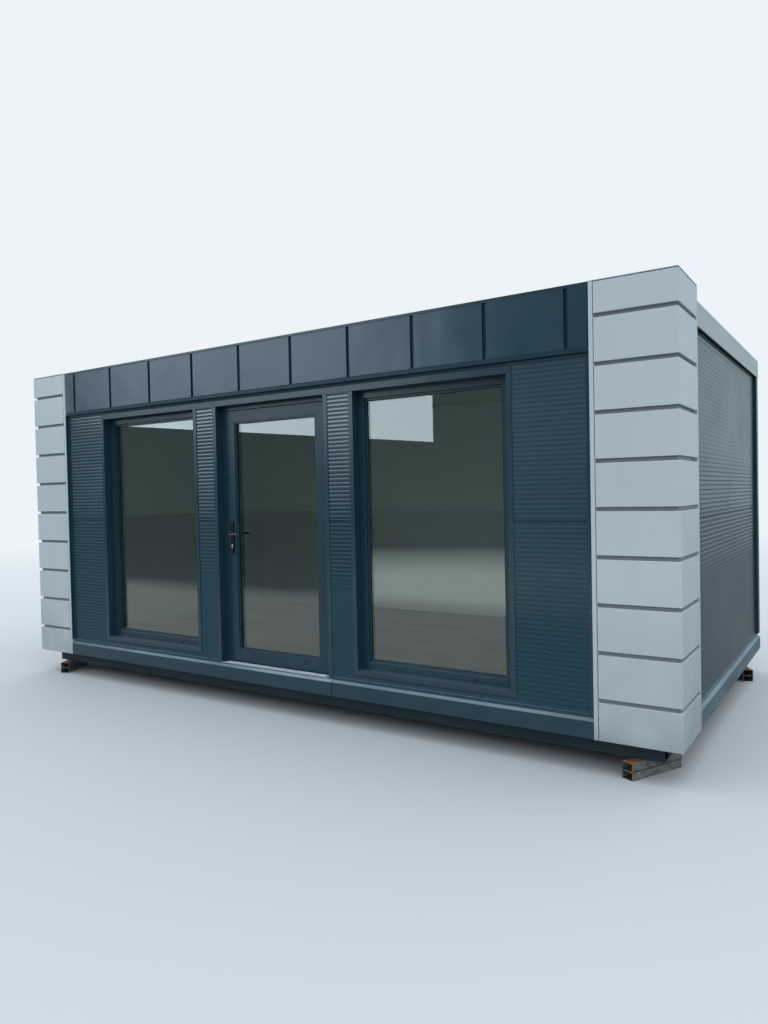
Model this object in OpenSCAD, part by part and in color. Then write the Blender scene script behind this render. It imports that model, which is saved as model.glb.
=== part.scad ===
// Shipping container cabin with a glazed front, in millimetres.
// The origin is on the ground, under the middle of the cabin.
// The glazed front faces -Y, +X is to the right of someone who looks at it, and Z points up.

/* [Overall] */
// Length over the corner pilasters
cabin_l = 6060; // [5900:10:6500]
// Depth from the pilaster faces to the rear roof edge
cabin_w = 3230; // [2900:10:3600]
// Clear height of the room, floor to ceiling
room_h = 2305; // [2280:5:2500]

/* [Supports] */
// Width of a support tube
tube_w = 80; // [60:5:120]
// Height of a support tube
tube_h = 50; // [40:5:70]
// Wall of a support tube
tube_wall = 4; // [3:0.5:6]
// Length of a support tube
tube_len = 420; // [380:10:600]
// Turn of the tubes out of the cabin's depth, in degrees
tube_turn = 27; // [20:1:32]
// Distance of the front tubes' open ends from the pilaster's outer corner, along the length
front_tube_in = 320; // [280:10:380]
// Distance of the front tubes' open ends from the pilaster face
front_tube_back = 32; // [24:1:60]
// Distance of the rear tubes' open ends from the pilaster's outer face
rear_tube_in = 45; // [42:1:80]
// Distance of the rear tubes' open ends from the rear roof edge
rear_tube_back = 470; // [450:10:700]

/* [Base frame] */
// Height of the perimeter channels
rail_h = 160; // [140:5:200]
// Flange width of the perimeter channels
rail_w = 80; // [60:5:100]
// Thickness of the channel steel
rail_wall = 6; // [4:1:10]
// Height of the cross joists
joist_h = 100; // [80:5:120]
// Width of a cross joist
joist_w = 60; // [40:5:80]
// Number of cross joists
joist_count = 6; // [4:1:9]
// Thickness of the floor deck
deck_t = 75; // [50:5:100]
// How far the cladding stops above the underside of the base frame
frame_show = 110; // [80:5:130]

/* [Walls] */
// Thickness of the sandwich panels
panel_t = 100; // [80:10:120]
// Thickness of the inner lining
lining_t = 40; // [20:5:60]
// Cover height of one horizontal wall panel
panel_module = 1160; // [1000:10:1200]
// Number of micro ribs in one panel
rib_count = 39; // [30:1:45]
// Depth of a micro rib
rib_depth = 1.5; // [1:0.5:4]
// Share of the rib pitch that the groove floor takes
rib_floor = 0.2; // [0.15:0.01:0.35]
// Height of the slit between two wall panels
slit_h = 6; // [4:1:8]
// Depth of the slit between two wall panels
slit_d = 12; // [8:1:20]

/* [Skirt] */
// Height of the skirt's upright face
skirt_h = 103; // [80:1:115]
// How far the skirt stands out of the wall
skirt_out = 24; // [16:1:24]
// Rise of the skirt's sloping ledge
ledge_rise = 17; // [8:1:22]
// Height of the skirt's upstand on the wall panel
upstand_h = 17; // [12:1:30]
// How much further the skirt stands out under the door
door_skirt_out = 4; // [2:1:5]
// Seam between two skirt lengths
skirt_seam = 3; // [2:1:6]

/* [Corner pilasters] */
// Width of a pilaster on the front and on the side
pilaster_w = 500; // [400:10:520]
// How far the pilaster face stands out of the wall
pilaster_out = 30; // [28:1:40]
// Depth of the recessed joints
cassette_t = 20; // [12:1:22]
// Distance from one recessed joint to the next
cassette_pitch = 280; // [240:5:320]
// Height of a recessed joint
cassette_joint = 25; // [15:1:35]
// Height of the lowest cassette
first_cassette = 223; // [200:1:260]
// Width of the upright edge strips of a pilaster
edge_strip = 25; // [15:1:35]
// Gap from the cassettes to the edge strips and to the cap
cassette_gap = 4; // [2:1:8]
// Width of the closure angle's foot beside a pilaster
closure_w = 30; // [20:1:45]
// Thickness of the closure angle's leg along the pilaster
closure_leg = 3; // [2:0.5:5]

/* [Fascia and roof] */
// Gap between the header flashing and the fascia
fascia_gap = 25; // [20:1:40]
// How far the fascia stands out of the wall
fascia_out = 20; // [16:1:26]
// Depth of the joints between the fascia cassettes
fascia_t = 12; // [8:1:14]
// Distance from a pilaster to the middle of the nearest fascia joint
fascia_end = 139; // [100:1:200]
// Gap between the fascia cassettes and the pilasters
fascia_side_gap = 8; // [4:1:14]
// Width of a fascia joint
fascia_joint = 26; // [20:1:40]
// Number of fascia joints
fascia_joints = 10; // [8:2:10]
// Height of the drip strip under the fascia cassettes
drip_h = 30; // [20:1:40]
// Height of the coping's front lip
coping_lip = 20; // [12:1:30]
// Thickness of the coping on the parapet
coping_t = 6; // [3:1:10]
// Thickness of the ceiling boards
ceiling_t = 40; // [20:5:60]
// Thickness of the roof slab
roof_t = 110; // [80:5:140]
// Height of the parapet over the roof slab
parapet_up = 100; // [60:5:140]
// How far the roof edge flashing stands out of the wall
edge_out = 25; // [24:1:28]
// Rise of the roof edge flashing over the roof slab
edge_up = 14; // [8:1:40]
// Drop of the roof edge flashing below the roof slab
edge_drop = 26; // [10:1:40]
// Width of the roof edge flashing on the roof slab
edge_lap = 60; // [40:5:100]
// Width of a leg of the rear corner angles
corner_leg = 70; // [50:5:100]
// How far the rear corner angles stand out of the walls
corner_t = 22; // [15:1:24]

/* [Openings] */
// Clear width of the doorway between its trims
door_open_w = 1100; // [1000:10:1120]
// Clear width of a window between its trims
window_w = 1180; // [1000:10:1240]
// Clear width of the wall between doorway and window
pier_w = 265; // [240:5:320]
// Distance from the ceiling down to the opening heads
head_drop = 225; // [200:5:260]
// Height of the window sills over the floor
sill_h = 88; // [70:1:140]
// Face width of the trims round the openings
trim_w = 37; // [25:1:45]
// Face height of the header flashing
header_h = 45; // [30:1:55]
// Thickness of the trims
trim_t = 4; // [2:0.5:5]
// Depth of the window and door frames behind the trim face
reveal_d = 74; // [50:1:90]

/* [Windows] */
// Face width of a window frame
window_face = 50; // [40:1:70]
// Width of the glazing bead inside the frame face
bead_w = 16; // [10:1:25]
// How far the bead lies behind the frame face
bead_back = 18; // [8:1:20]
// Thickness of the sealed glass units
glass_t = 24; // [20:1:32]
// How deep the glass sits in its frame
glass_bite = 12; // [8:1:15]

/* [Door] */
// Face width of the door jambs behind the trims
jamb_face = 30; // [25:1:45]
// Face height of the door head behind the trims
head_face = 35; // [25:1:45]
// Running clearance round the door leaf
leaf_gap = 5; // [5:0.5:8]
// Thickness of the leaf inside its frame
leaf_t = 75; // [68:1:78]
// Thickness of the flange that covers the gap inside
flange_t = 15; // [10:1:20]
// How far the flange laps over the jambs and the head
flange_lap = 15; // [10:1:16]
// Width of the leaf's upright stiles
stile_w = 110; // [90:1:130]
// Height of the leaf's bottom rail
rail_bottom = 108; // [90:1:160]
// Height of the leaf's top rail
rail_top = 101; // [80:1:130]
// Width of the leaf's glazing bead
leaf_bead_w = 12; // [8:1:20]
// How far the leaf's bead lies behind its face
leaf_bead_back = 8; // [4:1:14]
// Thickness of the threshold plate
threshold_t = 6; // [4:1:10]

/* [Door fittings] */
// Height of the lever spindle over the floor
spindle_h = 1046; // [950:1:1100]
// Distance from the spindle down to the lock cylinder
lock_drop = 92; // [70:1:110]
// Height of the handle plates
plate_h = 265; // [240:1:280]
// Width of the handle plates
plate_w = 34; // [28:1:40]
// Thickness of the handle plates
plate_t = 9; // [6:1:12]
// Radius of the lever spindle
spindle_r = 5; // [4:0.5:6]
// Clearance round the spindle
spindle_gap = 0.4; // [0.3:0.1:1]
// Radius of the lever grip
grip_r = 8.5; // [7:0.5:11]
// Length of the lever grip from its spindle
grip_len = 112; // [90:1:130]
// Distance of the grip's middle from its plate
grip_out = 42; // [35:1:55]
// Radius of the lock cylinder
lock_r = 8.5; // [7:0.5:10]
// Radius of the hinge barrels
hinge_r = 9; // [8:0.5:11]
// Height of a hinge barrel half
hinge_half = 44; // [35:1:60]
// Radius of the hinge pins
hinge_pin_r = 4; // [3:0.5:5]
// Running clearance round the hinge pins and between barrel halves
hinge_gap = 0.4; // [0.2:0.1:1]
// Length of a hinge wing from the hinge axis
hinge_wing = 44; // [30:1:60]
// Thickness of a hinge wing
hinge_wing_t = 3; // [2:0.5:4]

/* [Hidden] */
$fn = 48;

// Colours as the photograph shows them
light_grey = [0.62, 0.67, 0.70];
anthracite = [0.19, 0.25, 0.29];
pale = [0.86, 0.87, 0.86];
bare_steel = [0.38, 0.33, 0.30];
base_black = [0.10, 0.13, 0.15];
floor_brown = [0.42, 0.38, 0.35];
glass_tint = [0.45, 0.52, 0.52, 0.5];
alu = [0.72, 0.74, 0.75];
fitting_black = [0.08, 0.08, 0.09];

// Levels over the ground
base_z = 2 * tube_h;
deck_z = base_z + rail_h;
floor_z = deck_z + deck_t;
clad_z = base_z + frame_show;
ceiling_z = floor_z + room_h;
wall_top = ceiling_z + ceiling_t;
roof_z = wall_top + roof_t;
top_z = roof_z + parapet_up;
head_z = ceiling_z - head_drop;
sill_z = floor_z + sill_h;

// Planes of the walls, each at the crests of its ribs
wall_x = cabin_l / 2 - pilaster_out;
front_y = -cabin_w / 2 + pilaster_out;
rear_y = cabin_w / 2 - edge_out;
room_x = wall_x - panel_t;
frame_front_y = front_y + panel_t;
frame_rear_y = rear_y - panel_t;
pilaster_end_y = front_y - pilaster_out + pilaster_w;
pilaster_in_x = wall_x + pilaster_out - pilaster_w;

// Edges of the clear openings
door_x = door_open_w / 2;
window_in = door_x + pier_w;
window_out = window_in + window_w;

// Planes of the glazed frames
trim_y = front_y - trim_t;
frame_y = trim_y + reveal_d;
lining_y = frame_front_y + lining_t;

// A box from its lowest to its highest corner
module block(lo, hi) {
    translate(lo) cube(hi - lo);
}

// The same child at the left and at the right
module both_sides() {
    children();
    mirror([1, 0, 0]) children();
}

// Puts a wall that was drawn with its outside on y = 0, facing -Y, on its side of the cabin
module on_front() { translate([0, front_y, 0]) children(); }
module on_rear() { translate([0, rear_y, 0]) rotate([0, 0, 180]) children(); }
module on_right() { translate([wall_x, 0, 0]) rotate([0, 0, 90]) children(); }
module on_left() { translate([-wall_x, 0, 0]) rotate([0, 0, -90]) children(); }

// Extrudes a profile drawn in depth and height along X
module along_x(x0, x1) {
    translate([x0, 0, 0]) rotate([90, 0, 90]) linear_extrude(x1 - x0) children();
}

// Micro ribs and panel slits in one wall face, from z0 up to z1
rib_pitch = panel_module / rib_count;
rib_crest = slit_h + 1.5;
rib_flank = (rib_pitch * (1 - rib_floor) - rib_crest) / 2;
rib_half = rib_pitch * rib_floor / 2;
function rib_mid(k) = floor_z + rib_pitch * (k + 0.5);
function rib_cut(c) = [
    [0, c - rib_half - rib_flank], [rib_depth, c - rib_half],
    [rib_depth, c + rib_half], [0, c + rib_half + rib_flank]
];
function slit_cut(c) = [
    [0, c - slit_h / 2], [slit_d, c - slit_h / 2],
    [slit_d, c + slit_h / 2], [0, c + slit_h / 2]
];
// A slit closes each panel's last rib pitch, so that slits and grooves take turns up the wall
function face_points(z0, z1) = [
    for (k = [0 : floor((wall_top - floor_z) / rib_pitch)])
        each concat(
            rib_mid(k) - rib_pitch / 2 > z0 && rib_mid(k) + rib_pitch / 2 < z1 ? rib_cut(rib_mid(k)) : [],
            (k + 1) % rib_count == 0 && floor_z + rib_pitch * (k + 1) > z0 + slit_h
                && floor_z + rib_pitch * (k + 1) < z1 - slit_h
                ? slit_cut(floor_z + rib_pitch * (k + 1)) : []
        )
];

// A sandwich panel wall with its ribbed face on y = 0
module ribbed_wall(x0, x1, z0, z1) {
    along_x(x0, x1)
        polygon(concat([[0, z0]], face_points(z0, z1), [[0, z1], [panel_t, z1], [panel_t, z0]]));
}

// Supports: pairs of rusty tubes, laid askew under the four corners
module tube_profile() {
    difference() {
        square([tube_w, tube_h], center = true);
        square([tube_w - 2 * tube_wall, tube_h - 2 * tube_wall], center = true);
    }
}
module support_tube(x, y, turn, z) {
    translate([x, y, z + tube_h / 2]) rotate([0, 0, turn])
        rotate([-90, 0, 0]) linear_extrude(tube_len) tube_profile();
}
module tube_layer(z) {
    color(bare_steel) both_sides() {
        support_tube(wall_x + pilaster_out - front_tube_in, -cabin_w / 2 + front_tube_back, -tube_turn, z);
        support_tube(wall_x + pilaster_out - rear_tube_in, cabin_w / 2 - rear_tube_back, tube_turn, z);
    }
}
module support_tubes_lower() { tube_layer(0); }
module support_tubes_upper() { tube_layer(tube_h); }

// Base frame of channels that open inwards, with tube joists between them
module channel_profile() {
    difference() {
        square([rail_w, rail_h]);
        translate([rail_wall, rail_wall]) square([rail_w, rail_h - 2 * rail_wall]);
    }
}
module long_rail() {
    translate([0, 0, base_z]) along_x(-room_x, room_x) channel_profile();
}
module base_rails_long() {
    color(base_black) {
        translate([0, frame_front_y, 0]) long_rail();
        translate([0, frame_rear_y, 0]) rotate([0, 0, 180]) long_rail();
    }
}
joist_y0 = frame_front_y + rail_w;
joist_y1 = frame_rear_y - rail_w;
joist_step = 2 * (room_x - rail_w) / (joist_count + 1);
module joist(x) {
    translate([x - joist_w / 2, joist_y0, deck_z - joist_h])
        rotate([-90, 0, 0]) translate([0, -joist_h]) linear_extrude(joist_y1 - joist_y0) difference() {
            square([joist_w, joist_h]);
            translate([rail_wall, rail_wall]) square([joist_w - 2 * rail_wall, joist_h - 2 * rail_wall]);
        }
}
module base_crossmembers() {
    color(base_black) {
        both_sides() translate([room_x, 0, 0]) rotate([0, 0, 90])
            translate([0, 0, base_z]) along_x(joist_y0, joist_y1) channel_profile();
        for (k = [1 : joist_count]) joist(-room_x + rail_w + k * joist_step);
    }
}

// Plinth under the wall panels, round the floor
module wall_plinth_long() {
    color(base_black) {
        block([-wall_x, front_y, clad_z], [wall_x, frame_front_y, floor_z]);
        block([-wall_x, frame_rear_y, clad_z], [wall_x, rear_y, floor_z]);
    }
}
module wall_plinth_sides() {
    color(base_black) both_sides()
        block([room_x, frame_front_y, clad_z], [wall_x, frame_rear_y, floor_z]);
}
module floor_deck() {
    color(floor_brown) block([-room_x, frame_front_y, deck_z], [room_x, frame_rear_y, floor_z]);
}

// Skirt flashing with a sloping ledge
ledge_z = clad_z + skirt_h;
module skirt_profile(out, upstand) {
    polygon([
        [0, clad_z], [-out, clad_z], [-out, ledge_z],
        [-trim_t, ledge_z + ledge_rise],
        [-trim_t, floor_z + upstand], [0, floor_z + upstand]
    ]);
}
door_seam = door_x + trim_w + skirt_seam;
module skirt_front() {
    color(anthracite) on_front() {
        both_sides() along_x(door_seam + skirt_seam / 2, pilaster_in_x) skirt_profile(skirt_out, upstand_h);
        along_x(-door_seam + skirt_seam / 2, door_seam - skirt_seam / 2)
            skirt_profile(skirt_out + door_skirt_out, 0);
    }
}
module side_skirt_right() {
    difference() {
        on_right() along_x(pilaster_end_y, rear_y + skirt_out) skirt_profile(skirt_out, upstand_h);
        mitre_cut(wall_x, rear_y);
    }
}
module skirt_sides() {
    color(anthracite) both_sides() side_skirt_right();
}
// All that lies behind the 45 degree line through the rear right corner of the wall
module mitre_cut(x, y) {
    reach = 2 * cabin_l;
    translate([x, y, 0]) rotate([0, 0, 45]) translate([-reach, 0, 0]) cube([2 * reach, reach, 2 * top_z]);
}
module skirt_rear() {
    color(anthracite) intersection() {
        on_rear() along_x(-wall_x - skirt_out, wall_x + skirt_out) skirt_profile(skirt_out, upstand_h);
        mitre_cut(wall_x, rear_y);
        mirror([1, 0, 0]) mitre_cut(wall_x, rear_y);
    }
}

// Front wall, split beside and over the openings
module front_bay_right() {
    color(anthracite) on_front() ribbed_wall(window_out + trim_t, wall_x, floor_z, wall_top);
}
module front_pier_right() {
    color(anthracite) on_front() ribbed_wall(door_x + trim_t, window_in - trim_t, floor_z, head_z + trim_t);
}
module front_wall_right_bay() { front_bay_right(); }
module front_wall_left_bay() { mirror([1, 0, 0]) front_bay_right(); }
module front_wall_right_pier() { front_pier_right(); }
module front_wall_left_pier() { mirror([1, 0, 0]) front_pier_right(); }
module front_wall_header() {
    color(anthracite) on_front()
        ribbed_wall(-window_out - trim_t, window_out + trim_t, head_z + trim_t, wall_top);
}
module front_wall_sills() {
    color(anthracite) on_front() both_sides()
        ribbed_wall(window_in - trim_t, window_out + trim_t, floor_z, sill_z - trim_t);
}

// Side and rear walls
module side_wall_right() {
    color(anthracite) on_right() ribbed_wall(frame_front_y, frame_rear_y, floor_z, wall_top);
}
module side_wall_left() { mirror([1, 0, 0]) side_wall_right(); }
module rear_wall() {
    color(anthracite) on_rear() ribbed_wall(-wall_x, wall_x, floor_z, wall_top);
}
module rear_corner_trims() {
    z0 = floor_z + upstand_h;
    color(anthracite) both_sides() translate([wall_x, rear_y, z0])
        linear_extrude(wall_top - edge_drop - z0) difference() {
            translate([-corner_leg, -corner_leg]) square(corner_leg + corner_t);
            translate([-corner_leg, -corner_leg]) square(corner_leg);
        }
}

// Pale lining of the room
module lining_front() {
    color(pale) difference() {
        block([-room_x, frame_front_y, floor_z], [room_x, lining_y, ceiling_z]);
        block([-door_x - trim_t, frame_front_y - 1, floor_z - 1], [door_x + trim_t, lining_y + 1, head_z + trim_t]);
        both_sides() block(
            [window_in - trim_t, frame_front_y - 1, sill_z - trim_t],
            [window_out + trim_t, lining_y + 1, head_z + trim_t]);
    }
}
module lining_sides() {
    color(pale) both_sides()
        block([room_x - lining_t, lining_y, floor_z], [room_x, frame_rear_y - lining_t, ceiling_z]);
}
module lining_rear() {
    color(pale) block([-room_x, frame_rear_y - lining_t, floor_z], [room_x, frame_rear_y, ceiling_z]);
}
module ceiling() {
    color(pale) block([-room_x, frame_front_y, ceiling_z], [room_x, frame_rear_y, wall_top]);
}

// Roof slab behind the parapet, which returns behind the pilasters
module roof_slab() {
    color(light_grey) translate([0, 0, wall_top]) linear_extrude(roof_t) polygon([
        [-room_x, frame_front_y], [room_x, frame_front_y], [room_x, pilaster_end_y],
        [wall_x, pilaster_end_y], [wall_x, rear_y], [-wall_x, rear_y],
        [-wall_x, pilaster_end_y], [-room_x, pilaster_end_y]
    ]);
}
module parapet_front() {
    color(light_grey) block([-wall_x, front_y, wall_top], [wall_x, frame_front_y, top_z - coping_t]);
}
module parapet_returns() {
    color(light_grey) both_sides()
        block([room_x, frame_front_y, wall_top], [wall_x, pilaster_end_y, top_z - coping_t]);
}

// Roof edge flashing: a drip lip below, a face, and a lap on the roof slab
edge_lip = 8;
module edge_profile() {
    z0 = wall_top - edge_drop;
    polygon([
        [-edge_out + edge_lip, z0], [-edge_out, z0], [-edge_out, roof_z + edge_up],
        [edge_lap, roof_z + edge_up], [edge_lap, roof_z], [0, roof_z],
        [0, wall_top + edge_lip], [-edge_out + edge_lip, wall_top + edge_lip]
    ]);
}
module roof_edge_right() {
    difference() {
        on_right() along_x(pilaster_end_y, rear_y + edge_out) edge_profile();
        mitre_cut(wall_x, rear_y);
    }
}
module roof_edge_sides() {
    color(light_grey) both_sides() roof_edge_right();
}
module roof_edge_rear() {
    color(light_grey) intersection() {
        on_rear() along_x(-wall_x - edge_out, wall_x + edge_out) edge_profile();
        mitre_cut(wall_x, rear_y);
        mirror([1, 0, 0]) mitre_cut(wall_x, rear_y);
    }
}

// Fascia: a carrier sheet that ends in a drip strip, flat cassettes and a coping
fascia_z = head_z + header_h + fascia_gap;
fascia_pitch = 2 * (pilaster_in_x - fascia_end) / (fascia_joints - 1);
cassette_top = top_z - coping_lip;
module fascia_carrier() {
    color(anthracite) on_front() along_x(-pilaster_in_x, pilaster_in_x) polygon([
        [0, fascia_z], [-fascia_out, fascia_z], [-fascia_out, fascia_z + drip_h],
        [-fascia_out + fascia_t, fascia_z + drip_h], [-fascia_out + fascia_t, cassette_top], [0, cassette_top]
    ]);
}
function fascia_joint_x(k) = (k - (fascia_joints - 1) / 2) * fascia_pitch;
module fascia_cassettes() {
    color(anthracite) on_front() for (k = [0 : fascia_joints]) {
        x0 = k == 0 ? fascia_side_gap - pilaster_in_x : fascia_joint_x(k - 1) + fascia_joint / 2;
        x1 = k == fascia_joints ? pilaster_in_x - fascia_side_gap : fascia_joint_x(k) - fascia_joint / 2;
        block([x0, -fascia_out, fascia_z + drip_h], [x1, -fascia_out + fascia_t, cassette_top]);
    }
}
module coping_front() {
    color(anthracite) on_front() along_x(-pilaster_in_x, pilaster_in_x) polygon([
        [-fascia_out, cassette_top], [0, cassette_top], [0, top_z - coping_t],
        [panel_t, top_z - coping_t], [panel_t, top_z], [-fascia_out, top_z]
    ]);
}
module coping_corners() {
    color(light_grey) both_sides() translate([0, 0, top_z - coping_t]) linear_extrude(coping_t) polygon([
        [pilaster_in_x, front_y - pilaster_out], [wall_x + pilaster_out, front_y - pilaster_out],
        [wall_x + pilaster_out, pilaster_end_y], [room_x, pilaster_end_y],
        [room_x, frame_front_y], [pilaster_in_x, frame_front_y]
    ]);
}

// Corner pilasters: a carrier with edge strips, and cassettes folded round the corner
pilaster_h = top_z - coping_t - clad_z;
carrier_t = pilaster_out - cassette_t;
module carrier_plan_front() {
    polygon([
        [pilaster_in_x, front_y], [pilaster_in_x, front_y - pilaster_out],
        [pilaster_in_x + edge_strip, front_y - pilaster_out], [pilaster_in_x + edge_strip, front_y - carrier_t],
        [wall_x, front_y - carrier_t], [wall_x, front_y]
    ]);
}
module carrier_plan_side() {
    polygon([
        [wall_x, front_y - carrier_t], [wall_x + carrier_t, front_y - carrier_t],
        [wall_x + carrier_t, pilaster_end_y - edge_strip],
        [wall_x + pilaster_out, pilaster_end_y - edge_strip], [wall_x + pilaster_out, pilaster_end_y],
        [wall_x, pilaster_end_y]
    ]);
}
module pilaster_carriers_front() {
    color(light_grey) both_sides() translate([0, 0, clad_z]) linear_extrude(pilaster_h) carrier_plan_front();
}
module pilaster_carriers_side() {
    color(light_grey) both_sides() translate([0, 0, clad_z]) linear_extrude(pilaster_h) carrier_plan_side();
}
module cassette_plan() {
    x0 = pilaster_in_x + edge_strip + cassette_gap;
    y1 = pilaster_end_y - edge_strip - cassette_gap;
    polygon([
        [x0, front_y - pilaster_out], [wall_x + pilaster_out, front_y - pilaster_out],
        [wall_x + pilaster_out, y1], [wall_x + carrier_t, y1],
        [wall_x + carrier_t, front_y - carrier_t], [x0, front_y - carrier_t]
    ]);
}
cassette_count = floor((pilaster_h - first_cassette) / cassette_pitch) + 2;
module right_cassettes() {
    for (k = [0 : cassette_count - 1]) {
        z0 = k == 0 ? 0 : first_cassette + cassette_joint + (k - 1) * cassette_pitch;
        z1 = min(pilaster_h - cassette_gap, first_cassette + k * cassette_pitch);
        if (z1 - z0 > cassette_joint)
            translate([0, 0, clad_z + z0]) linear_extrude(z1 - z0) cassette_plan();
    }
}
module pilaster_right_cassettes() { color(light_grey) right_cassettes(); }
module pilaster_left_cassettes() { color(light_grey) mirror([1, 0, 0]) right_cassettes(); }

// Closure angles that seal the front wall against the pilasters
module pilaster_closures() {
    face_y = front_y - pilaster_out + cassette_gap;
    color(anthracite) both_sides() translate([pilaster_in_x, 0, floor_z + upstand_h])
        linear_extrude(fascia_z - floor_z - upstand_h) union() {
            translate([-closure_w, trim_y]) square([closure_w, trim_t]);
            translate([-closure_leg, face_y]) square([closure_leg, front_y - face_y]);
        }
}

// Header flashing over all three openings, with a return into each head
module header_flashing() {
    x1 = window_out + trim_w;
    color(anthracite) {
        block([-x1, trim_y, head_z], [x1, front_y, head_z + header_h]);
        both_sides() block([window_in - trim_t, front_y, head_z], [window_out + trim_t, frame_y, head_z + trim_t]);
        block([-door_x - trim_t, front_y, head_z], [door_x + trim_t, frame_y, head_z + trim_t]);
    }
}
// Trims beside the openings and under the windows, folded back to the frames
module jamb_trim(x, side, z0) {
    block([min(x, x + side * trim_w), trim_y, z0], [max(x, x + side * trim_w), front_y, head_z]);
    block([min(x, x + side * trim_t), front_y, z0], [max(x, x + side * trim_t), frame_y, head_z]);
}
module window_trim() {
    jamb_trim(window_in, -1, sill_z - trim_w);
    jamb_trim(window_out, 1, sill_z - trim_w);
    block([window_in, trim_y, sill_z - trim_w], [window_out, front_y, sill_z]);
    block([window_in, front_y, sill_z - trim_t], [window_out, frame_y, sill_z]);
}
module window_trim_cut() {
    difference() {
        window_trim();
        for (x = [window_in - trim_t, window_out])
            block([x - 1, front_y, sill_z - trim_w - 1], [x + trim_t + 1, frame_y + 1, sill_z - trim_t]);
    }
}
module opening_trims() {
    color(anthracite) both_sides() {
        window_trim_cut();
        jamb_trim(door_x, 1, floor_z);
    }
}

// Fixed windows: a frame with a stepped bead, and a sealed glass unit in its groove
frame_back_y = lining_y;
window_glass_y = frame_y + bead_back + bead_w / 2;
window_clear = trim_t + window_face + bead_w;
module window_slot(inset, y0, y1) {
    block(
        [window_in - trim_t + inset, y0, sill_z - trim_t + inset],
        [window_out + trim_t - inset, y1, head_z + trim_t - inset]);
}
module window_frame() {
    color(anthracite) difference() {
        window_slot(0, frame_y, frame_back_y);
        window_slot(trim_t + window_face, frame_y - 1, frame_y + bead_back);
        window_slot(window_clear, frame_y - 1, frame_back_y + 1);
        window_slot(window_clear - glass_bite, window_glass_y, window_glass_y + glass_t);
    }
}
module window_frame_right() { window_frame(); }
module window_frame_left() { mirror([1, 0, 0]) window_frame(); }
module window_glass() {
    color(glass_tint) both_sides()
        window_slot(window_clear - glass_bite, window_glass_y, window_glass_y + glass_t);
}

// Door frame and threshold
jamb_x = door_x - jamb_face;
door_head_z = head_z - head_face;
threshold_z = floor_z + threshold_t;
module door_frame() {
    color(anthracite) difference() {
        block([-door_x - trim_t, frame_y, floor_z], [door_x + trim_t, frame_back_y, head_z + trim_t]);
        block([-jamb_x, frame_y - 1, floor_z - 1], [jamb_x, frame_back_y + 1, door_head_z]);
    }
}
module door_threshold() {
    color(alu) union() {
        block([-door_x, trim_y, floor_z], [door_x, frame_y, threshold_z]);
        block([-jamb_x, frame_y - 1, floor_z], [jamb_x, frame_back_y, threshold_z]);
    }
}

// Door leaf: flush outside, with a flange that laps over the frame inside
leaf_x = jamb_x - leaf_gap;
leaf_z0 = threshold_z + leaf_gap;
leaf_z1 = door_head_z - leaf_gap;
flange_y = frame_back_y + leaf_gap;
leaf_back_y = flange_y + flange_t;
leaf_glass_y = frame_y + (leaf_t - glass_t) / 2;
spindle_x = -leaf_x + stile_w / 2;
spindle_z = floor_z + spindle_h;
module leaf_slot(inset, y0, y1) {
    block(
        [-leaf_x + stile_w + inset, y0, leaf_z0 + rail_bottom + inset],
        [leaf_x - stile_w - inset, y1, leaf_z1 - rail_top - inset]);
}
module rod_y(x, z, r, y0, y1) {
    translate([x, y0, z]) rotate([-90, 0, 0]) cylinder(r = r, h = y1 - y0);
}
module door_leaf() {
    color(anthracite) difference() {
        union() {
            block([-leaf_x, frame_y, leaf_z0], [leaf_x, leaf_back_y, leaf_z1]);
            block([-jamb_x - flange_lap, flange_y, leaf_z0], [jamb_x + flange_lap, leaf_back_y, door_head_z + flange_lap]);
        }
        leaf_slot(-leaf_bead_w, frame_y - 1, frame_y + leaf_bead_back);
        leaf_slot(0, frame_y - 1, leaf_back_y + 1);
        leaf_slot(-glass_bite, leaf_glass_y, leaf_glass_y + glass_t);
        rod_y(spindle_x, spindle_z, spindle_r + spindle_gap, frame_y - 1, leaf_back_y + 1);
    }
}
module door_glass() {
    color(glass_tint) leaf_slot(-glass_bite, leaf_glass_y, leaf_glass_y + glass_t);
}

// Handle plates with the lock cylinder, outside and inside
plate_z = spindle_z + plate_h * 0.4;
module handle_plate(y0, y1, lock_y) {
    difference() {
        union() {
            block([spindle_x - plate_w / 2, y0, plate_z - plate_h], [spindle_x + plate_w / 2, y1, plate_z]);
            rod_y(spindle_x, spindle_z - lock_drop, lock_r, min(y0, lock_y), max(y1, lock_y));
        }
        rod_y(spindle_x, spindle_z, spindle_r + spindle_gap, y0 - 1, y1 + 1);
    }
}
lock_out = 4;
module door_plates() {
    color(fitting_black) {
        handle_plate(frame_y - plate_t, frame_y, frame_y - plate_t - lock_out);
        handle_plate(leaf_back_y, leaf_back_y + plate_t, leaf_back_y + plate_t + lock_out);
    }
}

// Lever: one spindle through the leaf, with a neck and a grip on each side
neck_start = 0.4;
module lever_arm(dir, face_y) {
    y_grip = face_y + dir * grip_out;
    y_neck = face_y + dir * neck_start;
    rod_y(spindle_x, spindle_z, grip_r, min(y_grip, y_neck), max(y_grip, y_neck));
    translate([spindle_x, y_grip, spindle_z]) {
        sphere(r = grip_r);
        rotate([0, 90, 0]) cylinder(r = grip_r, h = grip_len - grip_r);
        translate([grip_len - grip_r, 0, 0]) sphere(r = grip_r);
    }
}
module door_lever() {
    y_out = frame_y - plate_t;
    y_in = leaf_back_y + plate_t;
    color(fitting_black) union() {
        rod_y(spindle_x, spindle_z, spindle_r, y_out - grip_out, y_in + grip_out);
        lever_arm(-1, y_out);
        lever_arm(1, y_in);
    }
}

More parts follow.
